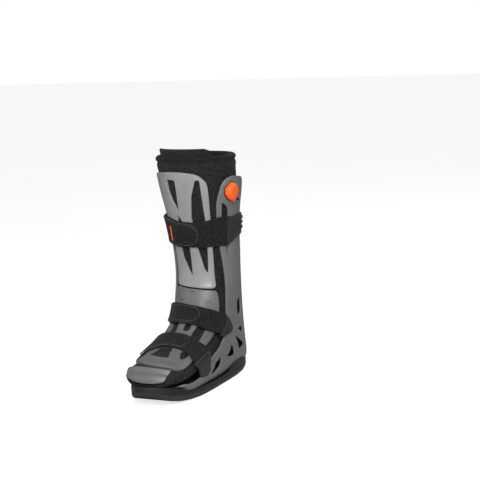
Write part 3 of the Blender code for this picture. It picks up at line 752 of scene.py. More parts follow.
def finish_piece(
    bm: bmesh.types.BMesh, name: str, finishes: Sequence[bpy.types.Material], sharp: float = 40.0
) -> bpy.types.Object:
    """Turns a bmesh into a piece with its finishes and smooth faces.

    Args:
        bm: the closed mesh, which is freed.
        name: name of the piece.
        finishes: one material for each material index.
        sharp: angle in degrees past which an edge stays sharp.

    Returns:
        The piece, at the origin.
    """
    bmesh.ops.recalc_face_normals(bm, faces=bm.faces[:])
    mesh = bpy.data.meshes.new(name)
    bm.to_mesh(mesh)
    bm.free()
    for look in finishes:
        mesh.materials.append(look)
    mesh.shade_smooth()
    mesh.set_sharp_from_angle(angle=math.radians(sharp))
    piece = bpy.data.objects.new(name, mesh)
    bpy.context.scene.collection.objects.link(piece)
    return piece


def place_piece(piece: bpy.types.Object, body: str, node: str) -> None:
    """Lets a piece stand for its CAD node and ride on a body.

    Args:
        piece: the piece.
        body: name of the body.
        node: name of the node.
    """
    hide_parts(node)
    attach(piece, body)
    piece.data.update()
    logger.info("%s: %d faces on body %s", piece.name, len(piece.data.polygons), body)


class Coat(Enum):
    """The finishes of the boot."""

    # painted shade: the instep plate and toe cap are the shin plate's plastic, coloured darker to stand for the
    # weaker light low on the boot
    SHADED_PLATE = "plate_painted_shade"
    PLATE = "plate_gray"
    BASE = "base_gray"
    LINER = "liner_cloth"
    BINDING = "liner_binding"
    STRAP = "strap_cloth"
    STRAP_EDGE = "strap_cut_edge"
    TAB = "tab_black"
    SOLE = "sole_rubber"
    SOLE_LIP = "sole_lip"
    PUMP = "pump_orange"
    FLOOR = "studio_floor"


def new_group(name: str, scales: dict[str, float]) -> bpy.types.NodeTree:
    """Makes an empty shader group that takes a vector and puts out a mask and a height.

    Args:
        name: name of the group.
        scales: name and first value of each number that it takes.

    Returns:
        The group, with its input and output nodes named "in" and "out".
    """
    tree = bpy.data.node_groups.new(name, "ShaderNodeTree")
    tree.interface.new_socket("Vector", in_out="INPUT", socket_type="NodeSocketVector")
    for label, value in scales.items():
        tree.interface.new_socket(label, in_out="INPUT", socket_type="NodeSocketFloat").default_value = value
    for label in ("Mask", "Height"):
        tree.interface.new_socket(label, in_out="OUTPUT", socket_type="NodeSocketFloat")
    tree.nodes.new("NodeGroupInput").name = "in"
    tree.nodes.new("NodeGroupOutput").name = "out"
    return tree


def add_node(tree: bpy.types.NodeTree, kind: str, **settings: object) -> bpy.types.Node:
    """Adds a node and sets its properties.

    Args:
        tree: the tree.
        kind: type of the node.
        **settings: its properties.

    Returns:
        The node.
    """
    node = tree.nodes.new(kind)
    for label, value in settings.items():
        setattr(node, label, value)
    return node


def add_math(tree: bpy.types.NodeTree, operation: str, *values: object) -> bpy.types.NodeSocket:
    """Adds a Math node fed by sockets or numbers and gives its output.

    Args:
        tree: the tree.
        operation: what it works out.
        *values: the sockets or numbers.

    Returns:
        The output.
    """
    node = add_node(tree, "ShaderNodeMath", operation=operation)
    for socket, value in zip(node.inputs, values):
        if isinstance(value, bpy.types.NodeSocket):
            tree.links.new(value, socket)
        else:
            socket.default_value = value
    return node.outputs[0]


def add_mix(
    tree: bpy.types.NodeTree,
    one: bpy.types.NodeSocket, one_share: float,
    other: bpy.types.NodeSocket, other_share: float,
) -> bpy.types.NodeSocket:
    """Adds a weighted sum of two sockets and gives its output."""
    return add_math(tree, "MULTIPLY_ADD", one, one_share, add_math(tree, "MULTIPLY", other, other_share))


def moulded_grain() -> bpy.types.NodeTree:
    """A fine moulded skin with soft cloudy wear: puts out a mask and a height."""
    tree = new_group("moulded_grain", {"Grain": 900.0, "Cloud": 18.0})
    given, result = tree.nodes["in"], tree.nodes["out"]
    grain = add_node(tree, "ShaderNodeTexNoise")
    cloud = add_node(tree, "ShaderNodeTexNoise")
    for noise, scale, detail in ((grain, "Grain", 2.0), (cloud, "Cloud", 5.0)):
        tree.links.new(given.outputs["Vector"], noise.inputs["Vector"])
        tree.links.new(given.outputs[scale], noise.inputs["Scale"])
        noise.inputs["Detail"].default_value = detail
    tree.links.new(grain.outputs["Fac"], result.inputs["Height"])
    tree.links.new(add_mix(tree, grain.outputs["Fac"], 0.25, cloud.outputs["Fac"], 0.75), result.inputs["Mask"])
    return tree


def brushed_loops() -> bpy.types.NodeTree:
    """Short cloth loops in soft patches: puts out a mask and a height."""
    tree = new_group("brushed_loops", {"Loops": 700.0, "Patches": 45.0})
    given, result = tree.nodes["in"], tree.nodes["out"]
    loops = add_node(tree, "ShaderNodeTexVoronoi")
    fuzz = add_node(tree, "ShaderNodeTexNoise")
    patches = add_node(tree, "ShaderNodeTexNoise")
    for texture, scale in ((loops, "Loops"), (fuzz, "Loops"), (patches, "Patches")):
        tree.links.new(given.outputs["Vector"], texture.inputs["Vector"])
        tree.links.new(given.outputs[scale], texture.inputs["Scale"])
    fuzz.inputs["Detail"].default_value = 4.0
    patches.inputs["Detail"].default_value = 6.0
    patches.inputs["Roughness"].default_value = 0.65
    height = add_mix(tree, loops.outputs["Distance"], 0.6, fuzz.outputs["Fac"], 0.5)
    tree.links.new(height, result.inputs["Height"])
    speck = add_mix(tree, fuzz.outputs["Fac"], 0.45, patches.outputs["Fac"], 0.55)
    tree.links.new(speck, result.inputs["Mask"])
    return tree


def woven_ribs() -> bpy.types.NodeTree:
    """A close weave across the flat map of a strap: puts out a mask and a height."""
    tree = new_group("woven_ribs", {"Threads": 60.0})
    given, result = tree.nodes["in"], tree.nodes["out"]
    waves = []
    for direction in ("X", "Y"):
        wave = add_node(tree, "ShaderNodeTexWave", bands_direction=direction)
        tree.links.new(given.outputs["Vector"], wave.inputs["Vector"])
        tree.links.new(given.outputs["Threads"], wave.inputs["Scale"])
        wave.inputs["Distortion"].default_value = 1.5
        wave.inputs["Detail"].default_value = 2.0
        waves.append(wave.outputs["Fac"])
    weave = add_math(tree, "MULTIPLY", *waves)
    tree.links.new(weave, result.inputs["Height"])
    tree.links.new(weave, result.inputs["Mask"])
    return tree


@dataclass(frozen=True)
class Finish:
    """A finish whose colour and roughness vary with a group's mask.

    Attributes:
        dark: colour where the mask is 0.
        light: colour where the mask is 1.
        rough: roughness at both ends of the mask.
        group: the effect that gives the mask and the height.
        values: the group's own inputs.
        relief: height of the bump in metres.
        sheen: weight of the cloth sheen.
        on_map: whether the effect follows the flat map of the piece.
        span: the part of the mask's range that is stretched over both colours.
        specular: strength of the plain reflection.
    """

    dark: tuple[float, float, float]
    light: tuple[float, float, float]
    rough: tuple[float, float]
    group: str
    values: dict[str, float]
    relief: float
    sheen: float = 0.0
    on_map: bool = False
    span: tuple[float, float] = (0.3, 0.7)
    specular: float = 0.5

    def build(self, name: str) -> bpy.types.Material:
        """Builds the material.

        Args:
            name: name of the material.

        Returns:
            The material.
        """
        made = bpy.data.materials.new(name)
        made.use_nodes = True
        tree = made.node_tree
        shader = tree.nodes["Principled BSDF"]
        place = add_node(tree, "ShaderNodeTexCoord")
        effect = add_node(tree, "ShaderNodeGroup", node_tree=bpy.data.node_groups[self.group])
        tree.links.new(place.outputs["UV" if self.on_map else "Object"], effect.inputs["Vector"])
        for label, value in self.values.items():
            effect.inputs[label].default_value = value
        stretch = add_node(tree, "ShaderNodeMapRange")
        tree.links.new(effect.outputs["Mask"], stretch.inputs["Value"])
        stretch.inputs["From Min"].default_value, stretch.inputs["From Max"].default_value = self.span
        color = add_node(tree, "ShaderNodeMix", data_type="RGBA")
        color.inputs["A"].default_value = (*self.dark, 1.0)
        color.inputs["B"].default_value = (*self.light, 1.0)
        tree.links.new(stretch.outputs["Result"], color.inputs["Factor"])
        tree.links.new(color.outputs["Result"], shader.inputs["Base Color"])
        rough = add_node(tree, "ShaderNodeMapRange")
        tree.links.new(stretch.outputs["Result"], rough.inputs["Value"])
        rough.inputs["To Min"].default_value, rough.inputs["To Max"].default_value = self.rough
        tree.links.new(rough.outputs["Result"], shader.inputs["Roughness"])
        bump = add_node(tree, "ShaderNodeBump")
        bump.inputs["Distance"].default_value = self.relief
        tree.links.new(effect.outputs["Height"], bump.inputs["Height"])
        tree.links.new(bump.outputs["Normal"], shader.inputs["Normal"])
        shader.inputs["Sheen Weight"].default_value = self.sheen
        shader.inputs["Sheen Roughness"].default_value = 0.5
        shader.inputs["Specular IOR Level"].default_value = self.specular
        return made


FINISHES = {
    Coat.PLATE: Finish(
        (0.225, 0.224, 0.226), (0.275, 0.274, 0.276), (0.36, 0.46), "moulded_grain", {"Grain": 1500, "Cloud": 22},
        0.00003,
    ),
    # painted shade: a darker copy of the plate's grey, standing for the light falling off over the instep and toe
    Coat.SHADED_PLATE: Finish(
        (0.105, 0.104, 0.106), (0.132, 0.131, 0.133), (0.40, 0.50), "moulded_grain", {"Grain": 1500, "Cloud": 22},
        0.00003,
    ),
    Coat.BASE: Finish(
        (0.125, 0.125, 0.127), (0.160, 0.160, 0.162), (0.34, 0.46), "moulded_grain", {"Grain": 1500, "Cloud": 20},
        0.00003, specular=0.45,
    ),
    Coat.LINER: Finish(
        (0.004, 0.004, 0.0045), (0.036, 0.035, 0.036), (0.85, 1.0), "brushed_loops", {"Loops": 750, "Patches": 260},
        0.0008, sheen=0.04, span=(0.40, 0.66), specular=0.12,
    ),
    Coat.BINDING: Finish(
        (0.006, 0.006, 0.0065), (0.020, 0.020, 0.021), (0.75, 0.9), "woven_ribs", {"Threads": 26}, 0.0003,
        sheen=0.03, on_map=True, span=(0.0, 1.0), specular=0.15,
    ),
    Coat.STRAP: Finish(
        (0.003, 0.003, 0.0035), (0.034, 0.033, 0.034), (0.80, 0.95), "brushed_loops", {"Loops": 1100, "Patches": 330},
        0.0006, sheen=0.04, span=(0.42, 0.66), specular=0.12,
    ),
    Coat.STRAP_EDGE: Finish(
        (0.045, 0.045, 0.047), (0.11, 0.11, 0.113), (0.5, 0.7), "woven_ribs", {"Threads": 30}, 0.0002,
        on_map=True, span=(0.0, 1.0), specular=0.2,
    ),
    Coat.TAB: Finish(
        (0.014, 0.014, 0.0145), (0.030, 0.030, 0.031), (0.40, 0.55), "moulded_grain", {"Grain": 1200, "Cloud": 60},
        0.00005, specular=0.3,
    ),
    Coat.SOLE: Finish(
        (0.024, 0.024, 0.025), (0.042, 0.042, 0.043), (0.50, 0.68), "moulded_grain", {"Grain": 900, "Cloud": 35},
        0.0001, specular=0.3,
    ),
    Coat.SOLE_LIP: Finish(
        (0.008, 0.008, 0.0085), (0.018, 0.018, 0.019), (0.45, 0.6), "moulded_grain", {"Grain": 900, "Cloud": 35},
        0.0001, specular=0.3,
    ),
    Coat.PUMP: Finish(
        (0.84, 0.105, 0.012), (0.97, 0.145, 0.02), (0.38, 0.50), "moulded_grain", {"Grain": 1400, "Cloud": 60},
        0.00004, specular=0.4,
    ),
    Coat.FLOOR: Finish(
        (0.50, 0.50, 0.50), (0.54, 0.54, 0.54), (0.8, 0.95), "moulded_grain", {"Grain": 40, "Cloud": 1.5}, 0.0001,
    ),
}


class Wardrobe:
    """Builds each finish once and hands it out."""

    def __init__(self) -> None:
        """Builds the shared effects and every finish."""
        moulded_grain()
        brushed_loops()
        woven_ribs()
        self.materials = {coat: finish.build(coat.value) for coat, finish in FINISHES.items()}

    def of(self, *coats: Coat) -> list[bpy.types.Material]:
        """The materials of these finishes, in order."""
        return [self.materials[coat] for coat in coats]


@dataclass(frozen=True)
class Lamp:
    """A soft square light.

    Attributes:
        name: its name.
        place: where it hangs, in metres.
        target: the point that it faces.
        size: width of its square.
        power: its power in watts.
    """

    name: str
    place: tuple[float, float, float]
    target: tuple[float, float, float]
    size: float
    power: float


LAMPS = (
    Lamp("key_light", (0.52, -1.05, 0.92), (0, 0.03, 0.38), 0.7, 21.0),
    Lamp("side_light", (2.0, -0.2, 1.5), (0, 0.03, 0.34), 0.9, 1.5),
    Lamp("fill_light", (-1.8, -1.5, 1.4), (0, 0.03, 0.30), 1.4, 6.0),
    Lamp("rim_light", (0.6, 2.2, 1.9), (0, 0.05, 0.25), 1.2, 6.0),
    Lamp("top_light", (0.1, 0.0, 2.4), (0, 0.02, 0.1), 1.4, 2.5),
)


@dataclass
class Studio:
    """The floor, the lights and the camera.

    Attributes:
        camera_place: where the camera stands, in millimetres.
        yaw: how far the camera turns left of straight ahead, in degrees.
        pitch: how far it looks down.
        roll: how far it leans to the right.
        lens: its focal length for a 36 mm sensor.
        floor_size: half the floor's width in metres.
        floor_glow: how much brighter the floor shows than it lights.
        sky_light: strength with which the sky lights the boot.
        sky_glow: strength with which the camera sees it.
    """

    camera_place: tuple[float, float, float] = (1089.6, -2083.4, 640.0)
    yaw: float = 25.111
    pitch: float = 9.197
    roll: float = 2.5
    lens: float = 100.5
    floor_size: float = 12.0
    floor_glow: float = 0.75
    sky_light: float = 0.32
    sky_glow: float = 1.0

    def build(self, wardrobe: Wardrobe) -> None:
        """Sets up the whole studio.

        Args:
            wardrobe: the finishes, for the floor's.
        """
        self._floor(wardrobe)
        for lamp in LAMPS:
            self._hang(lamp)
        self._sky()
        self._camera()

    def _sky(self) -> None:
        """Puts a white sky behind the boot that lights it more softly than it shows."""
        world = bpy.data.worlds.new("studio_sky")
        world.use_nodes = True
        tree = world.node_tree
        seen = add_node(tree, "ShaderNodeLightPath")
        strength = add_node(tree, "ShaderNodeMapRange")
        strength.inputs["To Min"].default_value = self.sky_light
        strength.inputs["To Max"].default_value = self.sky_glow
        tree.links.new(seen.outputs["Is Camera Ray"], strength.inputs["Value"])
        sky = tree.nodes["Background"]
        sky.inputs["Color"].default_value = (1.0, 1.0, 1.0, 1.0)
        tree.links.new(strength.outputs["Result"], sky.inputs["Strength"])
        bpy.context.scene.world = world
        bpy.context.scene.view_settings.view_transform = "Standard"

    def _floor(self, wardrobe: Wardrobe) -> None:
        """Lays the plain pale floor."""
        bm = bmesh.new()
        bmesh.ops.create_grid(bm, x_segments=1, y_segments=1, size=self.floor_size)
        floor = finish_piece(bm, "floor", wardrobe.of(Coat.FLOOR))
        tree = wardrobe.materials[Coat.FLOOR].node_tree
        seen = add_node(tree, "ShaderNodeLightPath")
        glow = add_math(tree, "MULTIPLY", seen.outputs["Is Camera Ray"], self.floor_glow)
        shader = tree.nodes["Principled BSDF"]
        shader.inputs["Emission Color"].default_value = (1.0, 1.0, 1.0, 1.0)
        tree.links.new(glow, shader.inputs["Emission Strength"])

    @staticmethod
    def _hang(lamp: Lamp) -> None:
        """Hangs one light so that it faces its target."""
        data = bpy.data.lights.new(lamp.name, "AREA")
        data.shape = "SQUARE"
        data.size = lamp.size
        data.energy = lamp.power
        made = bpy.data.objects.new(lamp.name, data)
        way = Vector(lamp.target) - Vector(lamp.place)
        made.rotation_mode = "QUATERNION"
        made.rotation_quaternion = way.to_track_quat("-Z", "Y")
        made.location = lamp.place
        bpy.context.scene.collection.objects.link(made)

    def _camera(self) -> None:
        """Stands the camera at the photograph's angle."""
        yaw, pitch, roll = (math.radians(angle) for angle in (self.yaw, self.pitch, self.roll))
        ahead = np.array((-math.sin(yaw) * math.cos(pitch), math.cos(yaw) * math.cos(pitch), -math.sin(pitch)))
        right = np.cross(ahead, (0, 0, 1))
        right /= np.linalg.norm(right)
        up = np.cross(right, ahead)
        leant_right = math.cos(roll) * right - math.sin(roll) * up
        leant_up = math.sin(roll) * right + math.cos(roll) * up
        turned = Matrix(np.stack([leant_right, leant_up, -ahead], axis=1).tolist())
        data = bpy.data.cameras.new("camera")
        data.lens = self.lens
        data.sensor_width = 36.0
        camera = bpy.data.objects.new("camera", data)
        camera.matrix_world = Matrix.Translation(np.array(self.camera_place) * MM) @ turned.to_4x4()
        bpy.context.scene.collection.objects.link(camera)
        bpy.context.scene.camera = camera
        logger.info("camera at %s", tuple(round(c, 3) for c in camera.location))


def bell(value: Array, middle: float, reach: float) -> Array:
    """A smooth bump of height 1 round a middle, 0 past its reach."""
    share = np.clip(1 - ((value - middle) / reach) ** 2, 0, 1)
    return share * share


@dataclass
class Liner:
    """The padded liner and its inner front flap.

    Attributes:
        rows: length of a facet down the leg, as a station.
        columns: facets round the leg.
        rim_steps: facets over the rounded rim.
        rim_station: station where the rolled rim meets the straight wall.
        seam_station: station of the seam below the rim's binding.
        flap_edge: rounding of the flap's edge.
    """

    rows: float = 0.006
    columns: int = 144
    rim_steps: int = 8
    rim_station: float = 0.010
    seam_station: float = 0.021
    flap_edge: float = 2.1

    def build(self, wardrobe: Wardrobe) -> None:
        """Builds both padded pieces."""
        liner = self._boot(wardrobe)
        place_piece(liner, "boot", "liner")
        flap = self._flap(wardrobe)
        place_piece(flap, "boot", "liner_flap")

    def _profile(self) -> tuple[Array, Array]:
        """Stations and distances from the toe of the hollow over the rim and back down round the toe.

        Returns:
            The stations, and the distance outside the liner's surface at each.
        """
        turns = np.linspace(0, math.pi, self.rim_steps + 1)
        half = LINER_WALL / 2
        inside = np.arange(HOLLOW_END, self.rim_station, -self.rows)
        outside = np.arange(self.rim_station + self.rows, LINER_END, self.rows)
        rim_station = self.rim_station - np.sin(turns) * self.rim_station
        rim_distance = -half - half * np.cos(turns)
        stations = np.concatenate([inside, rim_station, outside, [LINER_END]])
        distances = np.concatenate([np.full(len(inside), -LINER_WALL), rim_distance, np.zeros(len(outside) + 1)])
        return stations, distances

    def _relief(self, station: Array, degree: Array) -> Array:
        """Puffs, the seam under the binding and soft wrinkles on the outside.

        Args:
            station: how far down the leg and along the foot.
            degree: turn from the front, positive to the pump's side.

        Returns:
            The height at each place.
        """
        seam = -1.9 * bell(station, self.seam_station, 0.006)
        binding = 0.8 * bell(station, self.seam_station - 0.011, 0.009)
        puff = 0.5 * bell(station, self.seam_station + 0.016, 0.014)
        turn = np.radians(degree)
        wrinkle = np.sin(station * 61 + 2.1 * np.sin(3 * turn)) * np.sin(5 * turn + station * 17)
        fine = np.sin(station * 143 + 1.7 * np.cos(7 * turn)) * np.sin(9 * turn - station * 31)
        toe_seam = -0.8 * bell(station, 1.012, 0.006)
        side_seam = -0.6 * bell(station, 0.845, 0.004) * bell(np.abs(degree), 75, 20)
        soft = 0.28 * wrinkle + 0.16 * fine
        return seam + binding + puff + toe_seam + side_seam + soft * smooth_step(0.03, 0.06, station)

    def _boot(self, wardrobe: Wardrobe) -> bpy.types.Object:
        """The boot-shaped padding with its rolled rim."""
        stations, distances = self._profile()
        bm = bmesh.new()
        bmesh.ops.create_grid(bm, x_segments=self.columns, y_segments=len(stations) - 1, size=0.5)
        flat = np.array([corner.co for corner in bm.verts]) + 0.5
        row = np.rint(flat[:, 1] * (len(stations) - 1)).astype(int)
        degree = np.rint(flat[:, 0] * self.columns) * 360 / self.columns
        station = stations[row]
        outer = distances[row] > -LINER_WALL / 2
        relief = np.where(outer, self._relief(station, degree), 0)
        u, v = degree * DEGREE_LENGTH * MAP_SCALE, station * STATION_LENGTH * MAP_SCALE
        uv = bm.loops.layers.uv.new("flat")
        for face in bm.faces:
            face.material_index = int(self._in_binding(stations, face, row))
            for corner in face.loops:
                index = corner.vert.index
                corner[uv].uv = (u[index], v[index])
        places = on_liner(station, degree, distances[row] + relief) * MM
        for corner, place in zip(bm.verts, places):
            corner.co = place
        bmesh.ops.remove_doubles(bm, verts=bm.verts[:], dist=0.00002)
        bmesh.ops.holes_fill(bm, edges=[edge for edge in bm.edges if edge.is_boundary], sides=0)
        return finish_piece(bm, "liner_padding", wardrobe.of(Coat.LINER, Coat.BINDING), 70.0)

    def _in_binding(self, stations: Array, face: bmesh.types.BMFace, row: Array) -> bool:
        """Whether a face belongs to the binding that is folded over the rim.

        Args:
            stations: station of each row.
            face: the face.
            row: row of each corner.

        Returns:
            Whether it does.
        """
        rows = [int(row[corner.index]) for corner in face.verts]
        rim = int(np.argmin(stations))
        return min(rows) > rim - self.rim_steps and max(stations[index] for index in rows) < self.seam_station

    def _flap(self, wardrobe: Wardrobe) -> bpy.types.Object:
        """The inner flap that stands above the rim in front."""
        top = -FLAP_RISE / STATION_LENGTH
        corners = [(top if station == 0 else station, degree) for station, degree in FLAP]
        rings = (
            (0.0, -self.flap_edge), (0.35, -0.55 * self.flap_edge), (0.65, -0.2 * self.flap_edge), (1.1, 0.0),
            (3.4, 0.0), (0.7, -0.5), (0.7, 0.0),
        )
        inner = -LINER_WALL - LAYER_GAP - FLAP_WALL
        wall = Wall("liner_front_flap", rounded(corners, 14), on_liner, inner, FLAP_WALL, rings, pitch=3.5)
        return wall.build(wardrobe.of(Coat.LINER))


@dataclass
class FrontPlates:
    """The shin plate, the instep plate and the toe cap.

    Attributes:
        edge: rounding of every edge.
    """

    edge: float = 0.9

    def build(self, wardrobe: Wardrobe) -> None:
        """Builds the three plates."""
        edges, marks = round_edge(self.edge), self._instep_marks()
        for name, node, coat, outline, windows, rest in (
            ("shin_cover", "shin_plate", Coat.PLATE, rounded(SHIN_OUTLINE, 12, 5),
             [rounded(window, 3.5) for window in SHIN_WINDOWS], {"relief": self._shin_relief}),
            # the instep plate and toe cap take the darker copy of the plate's grey, as painted shade
            ("instep_cover", "instep_plate", Coat.SHADED_PLATE, rounded(INSTEP_OUTLINE, 10, 5),
             [rounded(window, 6) for window in INSTEP_WINDOWS], {"relief": self._instep_relief, "marks": marks}),
            ("toe_cover", "toe_cap", Coat.SHADED_PLATE, rounded(TOE_OUTLINE, 14, 5),
             [], {"relief": self._toe_relief, "pitch": 2.5}),
        ):
            wall = Wall(name, outline, on_liner, LAYER_GAP, PLATE_WALL, edges, windows, **rest)
            place_piece(wall.build(wardrobe.of(coat)), "boot", node)

    @staticmethod
    def _instep_marks() -> list[Mark]:
        """Thumb ovals, the latch's mark and pins."""
        return [
            Mark(ellipse(0.562, -20, 6.5, 7.5), -1.7, 0.5),
            Mark(ellipse(0.563, 31, 7.0, 6.5), -1.7, 0.5),
            Mark(line_loop(((0.5185, -3.5), (0.5205, 2.5)), 3.4), -1.8, 0.4),
            Mark(ellipse(0.516, 38, 1.6, 1.6, 10), -0.8, 0.3),
            Mark(ellipse(0.895, 28, 1.5, 1.6, 10), -1.4, 0.3),
            Mark(ellipse(0.905, 22, 1.1, 1.6, 8), 0.6, 0.3),
            Mark(line_loop(((0.925, -38), (0.945, -20), (0.951, 4), (0.949, 30), (0.940, 46)), 1.3), -0.7, 0.3),
            Mark(line_loop(((0.652, 48.5), (0.69, 49.5), (0.72, 50)), 1.4), -0.9, 0.4),
        ]

    @staticmethod
    def _shin_relief(station: Array, degree: Array) -> Array:
        """A soft raised rib beside the long window on the pump's side, and a lip near the lower edge."""
        right = 0.8 * bell(degree, 31, 5) * smooth_step(0.07, 0.12, station)
        lip = 0.7 * bell(station, 0.492, 0.012)
        return right + lip * smooth_step(-50, -30, degree)

    @staticmethod
    def _instep_relief(station: Array, degree: Array) -> Array:
        """Raised rims along the sides and a lip over the toe cap."""
        rim = 0.7 * bell(np.abs(degree - 8), 46, 8) * smooth_step(0.52, 0.56, station)
        lip = 1.3 * smooth_step(0.915, 0.945, station)
        return rim + lip

    @staticmethod
    def _toe_relief(station: Array, degree: Array) -> Array:
        """A sunken band below the top edge, then a full round end."""
        band = -2.9 * bell(station, 0.990, 0.018) * smooth_step(-60, -40, degree)
        return band + 1.9 * bell(station, 1.028, 0.024) * bell(degree, 0, 55)


class BaseShell:
    """The hard shell behind the leg and under the foot. Its wall is 1 thick, as a share of the true wall."""

    # How deep the inner face lies, as a share of the true wall, and the rings along the outer edge
    DEPTH = 0.8
    RINGS = ((0.0, -0.22), (0.35, -0.07), (0.75, 0.0))
    # Corners, width and height, as a share of the wall, of the groove, the rim's lip and the ankle's cup
    LINES = (
        (((0.385, 64.5), (0.44, 67), (0.50, 70.5)), 2.2, -0.20),
        (((0.716, 89), (0.716, 94), (0.730, 100), (0.752, 107)), 2.0, 0.20),
        (((0.612, 112), (0.640, 110), (0.668, 104), (0.692, 100)), 1.8, 0.18),
    )

    def build(self, wardrobe: Wardrobe) -> None:
        """Builds the shell."""
        pump_side = [(station, degree) for station, degree, _ in BASE_EDGE]
        other_side = [(station, 360 - degree) for station, _, degree in BASE_EDGE[-2:0:-1]]
        openings = [rounded(WING_WINDOW, 3, 3)]
        for window in BASE_WINDOWS:
            openings.append(rounded(window, 3, 3))
            openings.append(rounded([(station, 360 - degree) for station, degree in window], 3, 3))
        openings.append(pump_loop(-PUMP_GAP))
        outline = rounded(pump_side + other_side, 8, 4)
        sheet = Wall("rear_shell", outline, self._between, 0.0, 1.0, self.RINGS, openings, self._marks())
        place_piece(sheet.build(wardrobe.of(Coat.BASE)), "boot", "base_shell")

    @staticmethod
    def _between(station: Array, degree: Array, share: Array) -> Array:
        """A place in the wall, from its inner face at 0 to its outer face at 1.

        Args:
            station: how far down the leg and along the foot.
            degree: turn from the front, positive to the pump's side.
            share: the share of the wall.

        Returns:
            The points in millimetres, along the last axis.
        """
        inner = on_liner(station, degree, np.full(station.shape, LAYER_GAP))
        outer = on_base(station, degree, np.zeros(station.shape))
        way = inner - outer
        deep = np.linalg.norm(way, axis=-1, keepdims=True)
        wall = way / deep * np.minimum(deep, BaseShell.DEPTH * BASE_WALL)
        proud = (on_base(station, degree, np.ones(station.shape)) - outer) * BASE_WALL
        sunk, raised = np.clip(1 - share, 0, 1)[..., None], np.clip(share - 1, 0, 1)[..., None]
        return outer + sunk * wall + raised * proud

    @staticmethod
    def _marks() -> list[Mark]:
        """The groove and the raised rims beside the windows, on both sides."""
        return [
            Mark(line_loop([(station, turn + sign * degree) for station, degree in corners], width), height, 0.5)
            for sign, turn in ((1, 0), (-1, 360))
            for corners, width, height in BaseShell.LINES
        ]


@dataclass
class Straps:
    """The three straps with their folded ends, the tag, the band and the tabs.

    Attributes:
        welt_margin: distance from a strap's edge to its stitched line.
        welt_depth: depth of the stitched line.
    """

    welt_margin: float = 1.9
    welt_depth: float = 0.35

    def build(self, wardrobe: Wardrobe) -> None:
        """Builds every piece that closes the boot."""
        rings = welt(0.6, self.welt_margin, self.welt_depth)
        over = LAYER_GAP + STRAP_WALL + FOLD_GAP
        for name, table, end in (
            ("calf", CALF_STRAP, CALF_STRAP_END),
            ("ankle", ANKLE_STRAP, ANKLE_STRAP_END),
            ("foot", FOOT_STRAP, FOOT_STRAP_END),
        ):
            whole = strap_outline(table, table[0][0], table[-1][0])
            free = strap_outline(table, STRAP_END_START[name], end, STRAP_END_INSET, round_end=True)
            band = Wall(f"{name}_band", whole, over_shells, LAYER_GAP, STRAP_WALL, rings, relief=self._cloth_waves)
            tip = Wall(f"{name}_folded_end", free, over_shells, over, STRAP_WALL, rings, relief=self._cloth_waves)
            place_piece(band.build(wardrobe.of(Coat.STRAP)), "boot", f"{name}_strap")
            place_piece(tip.build(wardrobe.of(Coat.STRAP, Coat.STRAP_EDGE)), "boot", f"{name}_strap_end")
        level = over + STRAP_WALL + LAYER_GAP
        fine_edge = ((0.0, -0.25), (0.25, 0.0))
        tag = Wall("sewn_tag", rounded(TAG, 0.8), over_shells, level, TAG_WALL, fine_edge, pitch=2.0)
        place_piece(tag.build(wardrobe.of(Coat.PUMP)), "boot", "strap_tag")
        self._band(wardrobe)
        self._tabs(wardrobe)

    @staticmethod
    def _cloth_waves(station: Array, degree: Array) -> Array:
        """Slight waves of soft cloth."""
        return 0.22 * np.sin(station * 90 + 0.09 * degree) * np.sin(0.13 * degree + station * 40)

    def _band(self, wardrobe: Wardrobe) -> None:
        """The bendable band round the calf with its slots and ribs."""
        slots = []
        for station, degree in BAND_SLOTS:
            tall, wide = BAND_SLOT_WIDTH / 2 / STATION_LENGTH, BAND_SLOT_LENGTH / 2 / DEGREE_LENGTH
            box = [
                (station - tall, degree - wide), (station - tall, degree + wide), (station + tall, degree + wide),
                (station + tall, degree - wide),
            ]
            slots.append(rounded(box, BAND_SLOT_WIDTH / 2, 4))
        ribs = [
            Mark(line_loop(((low, 97.5), (low - 0.001, 114), (low + 0.003, 160), (low + 0.003, 225)), 5.6), 2.2, 1.2)
            for low in (0.240, 0.258, 0.276)
        ]
        ridge = Mark(line_loop(((0.228, 66.5), (0.300, 66.3), (0.320, 66.3)), 1.6), 0.7, 0.4)
        wall = Wall(
            "calf_hoop", rounded(CALF_BAND, 6, 4), over_shells, LAYER_GAP, BAND_WALL, round_edge(0.8), slots,
            [*ribs, ridge]
        )
        place_piece(wall.build(wardrobe.of(Coat.TAB)), "boot", "calf_band")

    def _tabs(self, wardrobe: Wardrobe) -> None:
        """Four tabs, each with a sunken groove where its strap runs."""
        grooves = {
            "ankle_tab": ((0.597, 70.5), (0.630, 72.0), (0.655, 70.5)),
            "foot_tab": ((0.762, 72.5), (0.800, 76.5), (0.838, 77.5)),
        }
        for name, corners in (("ankle_tab", ANKLE_TAB), ("foot_tab", FOOT_TAB)):
            for side, sign in (("inner", 1), ("outer", -1)):
                outline = rounded([(station, sign * degree) for station, degree in corners], 9, 4)
                line = line_loop([(station, sign * degree) for station, degree in grooves[name]], 2.0)
                wall = Wall(
                    f"{name}_{side}_leaf", outline, over_shells, LAYER_GAP, TAB_WALL, round_edge(0.8), [],
                    [Mark(line, -1.1, 0.4)], 3.0
                )
                place_piece(wall.build(wardrobe.of(Coat.TAB)), "boot", f"{name}_{side}")


def raise_face(bm: bmesh.types.BMesh, face: bmesh.types.BMFace, keep: bool) -> bmesh.types.BMFace:
    """Extrudes one face.

    Args:
        bm: the mesh.
        face: the face to extrude.
        keep: whether the old face stays, which it does only where it closes the piece.

    Returns:
        The new face.
    """
    grown = bmesh.ops.extrude_face_region(bm, geom=[face])["geom"]
    raised = next(item for item in grown if isinstance(item, bmesh.types.BMFace))
    if not keep and face.is_valid:
        bmesh.ops.delete(bm, geom=[face], context="FACES_ONLY")
    return raised


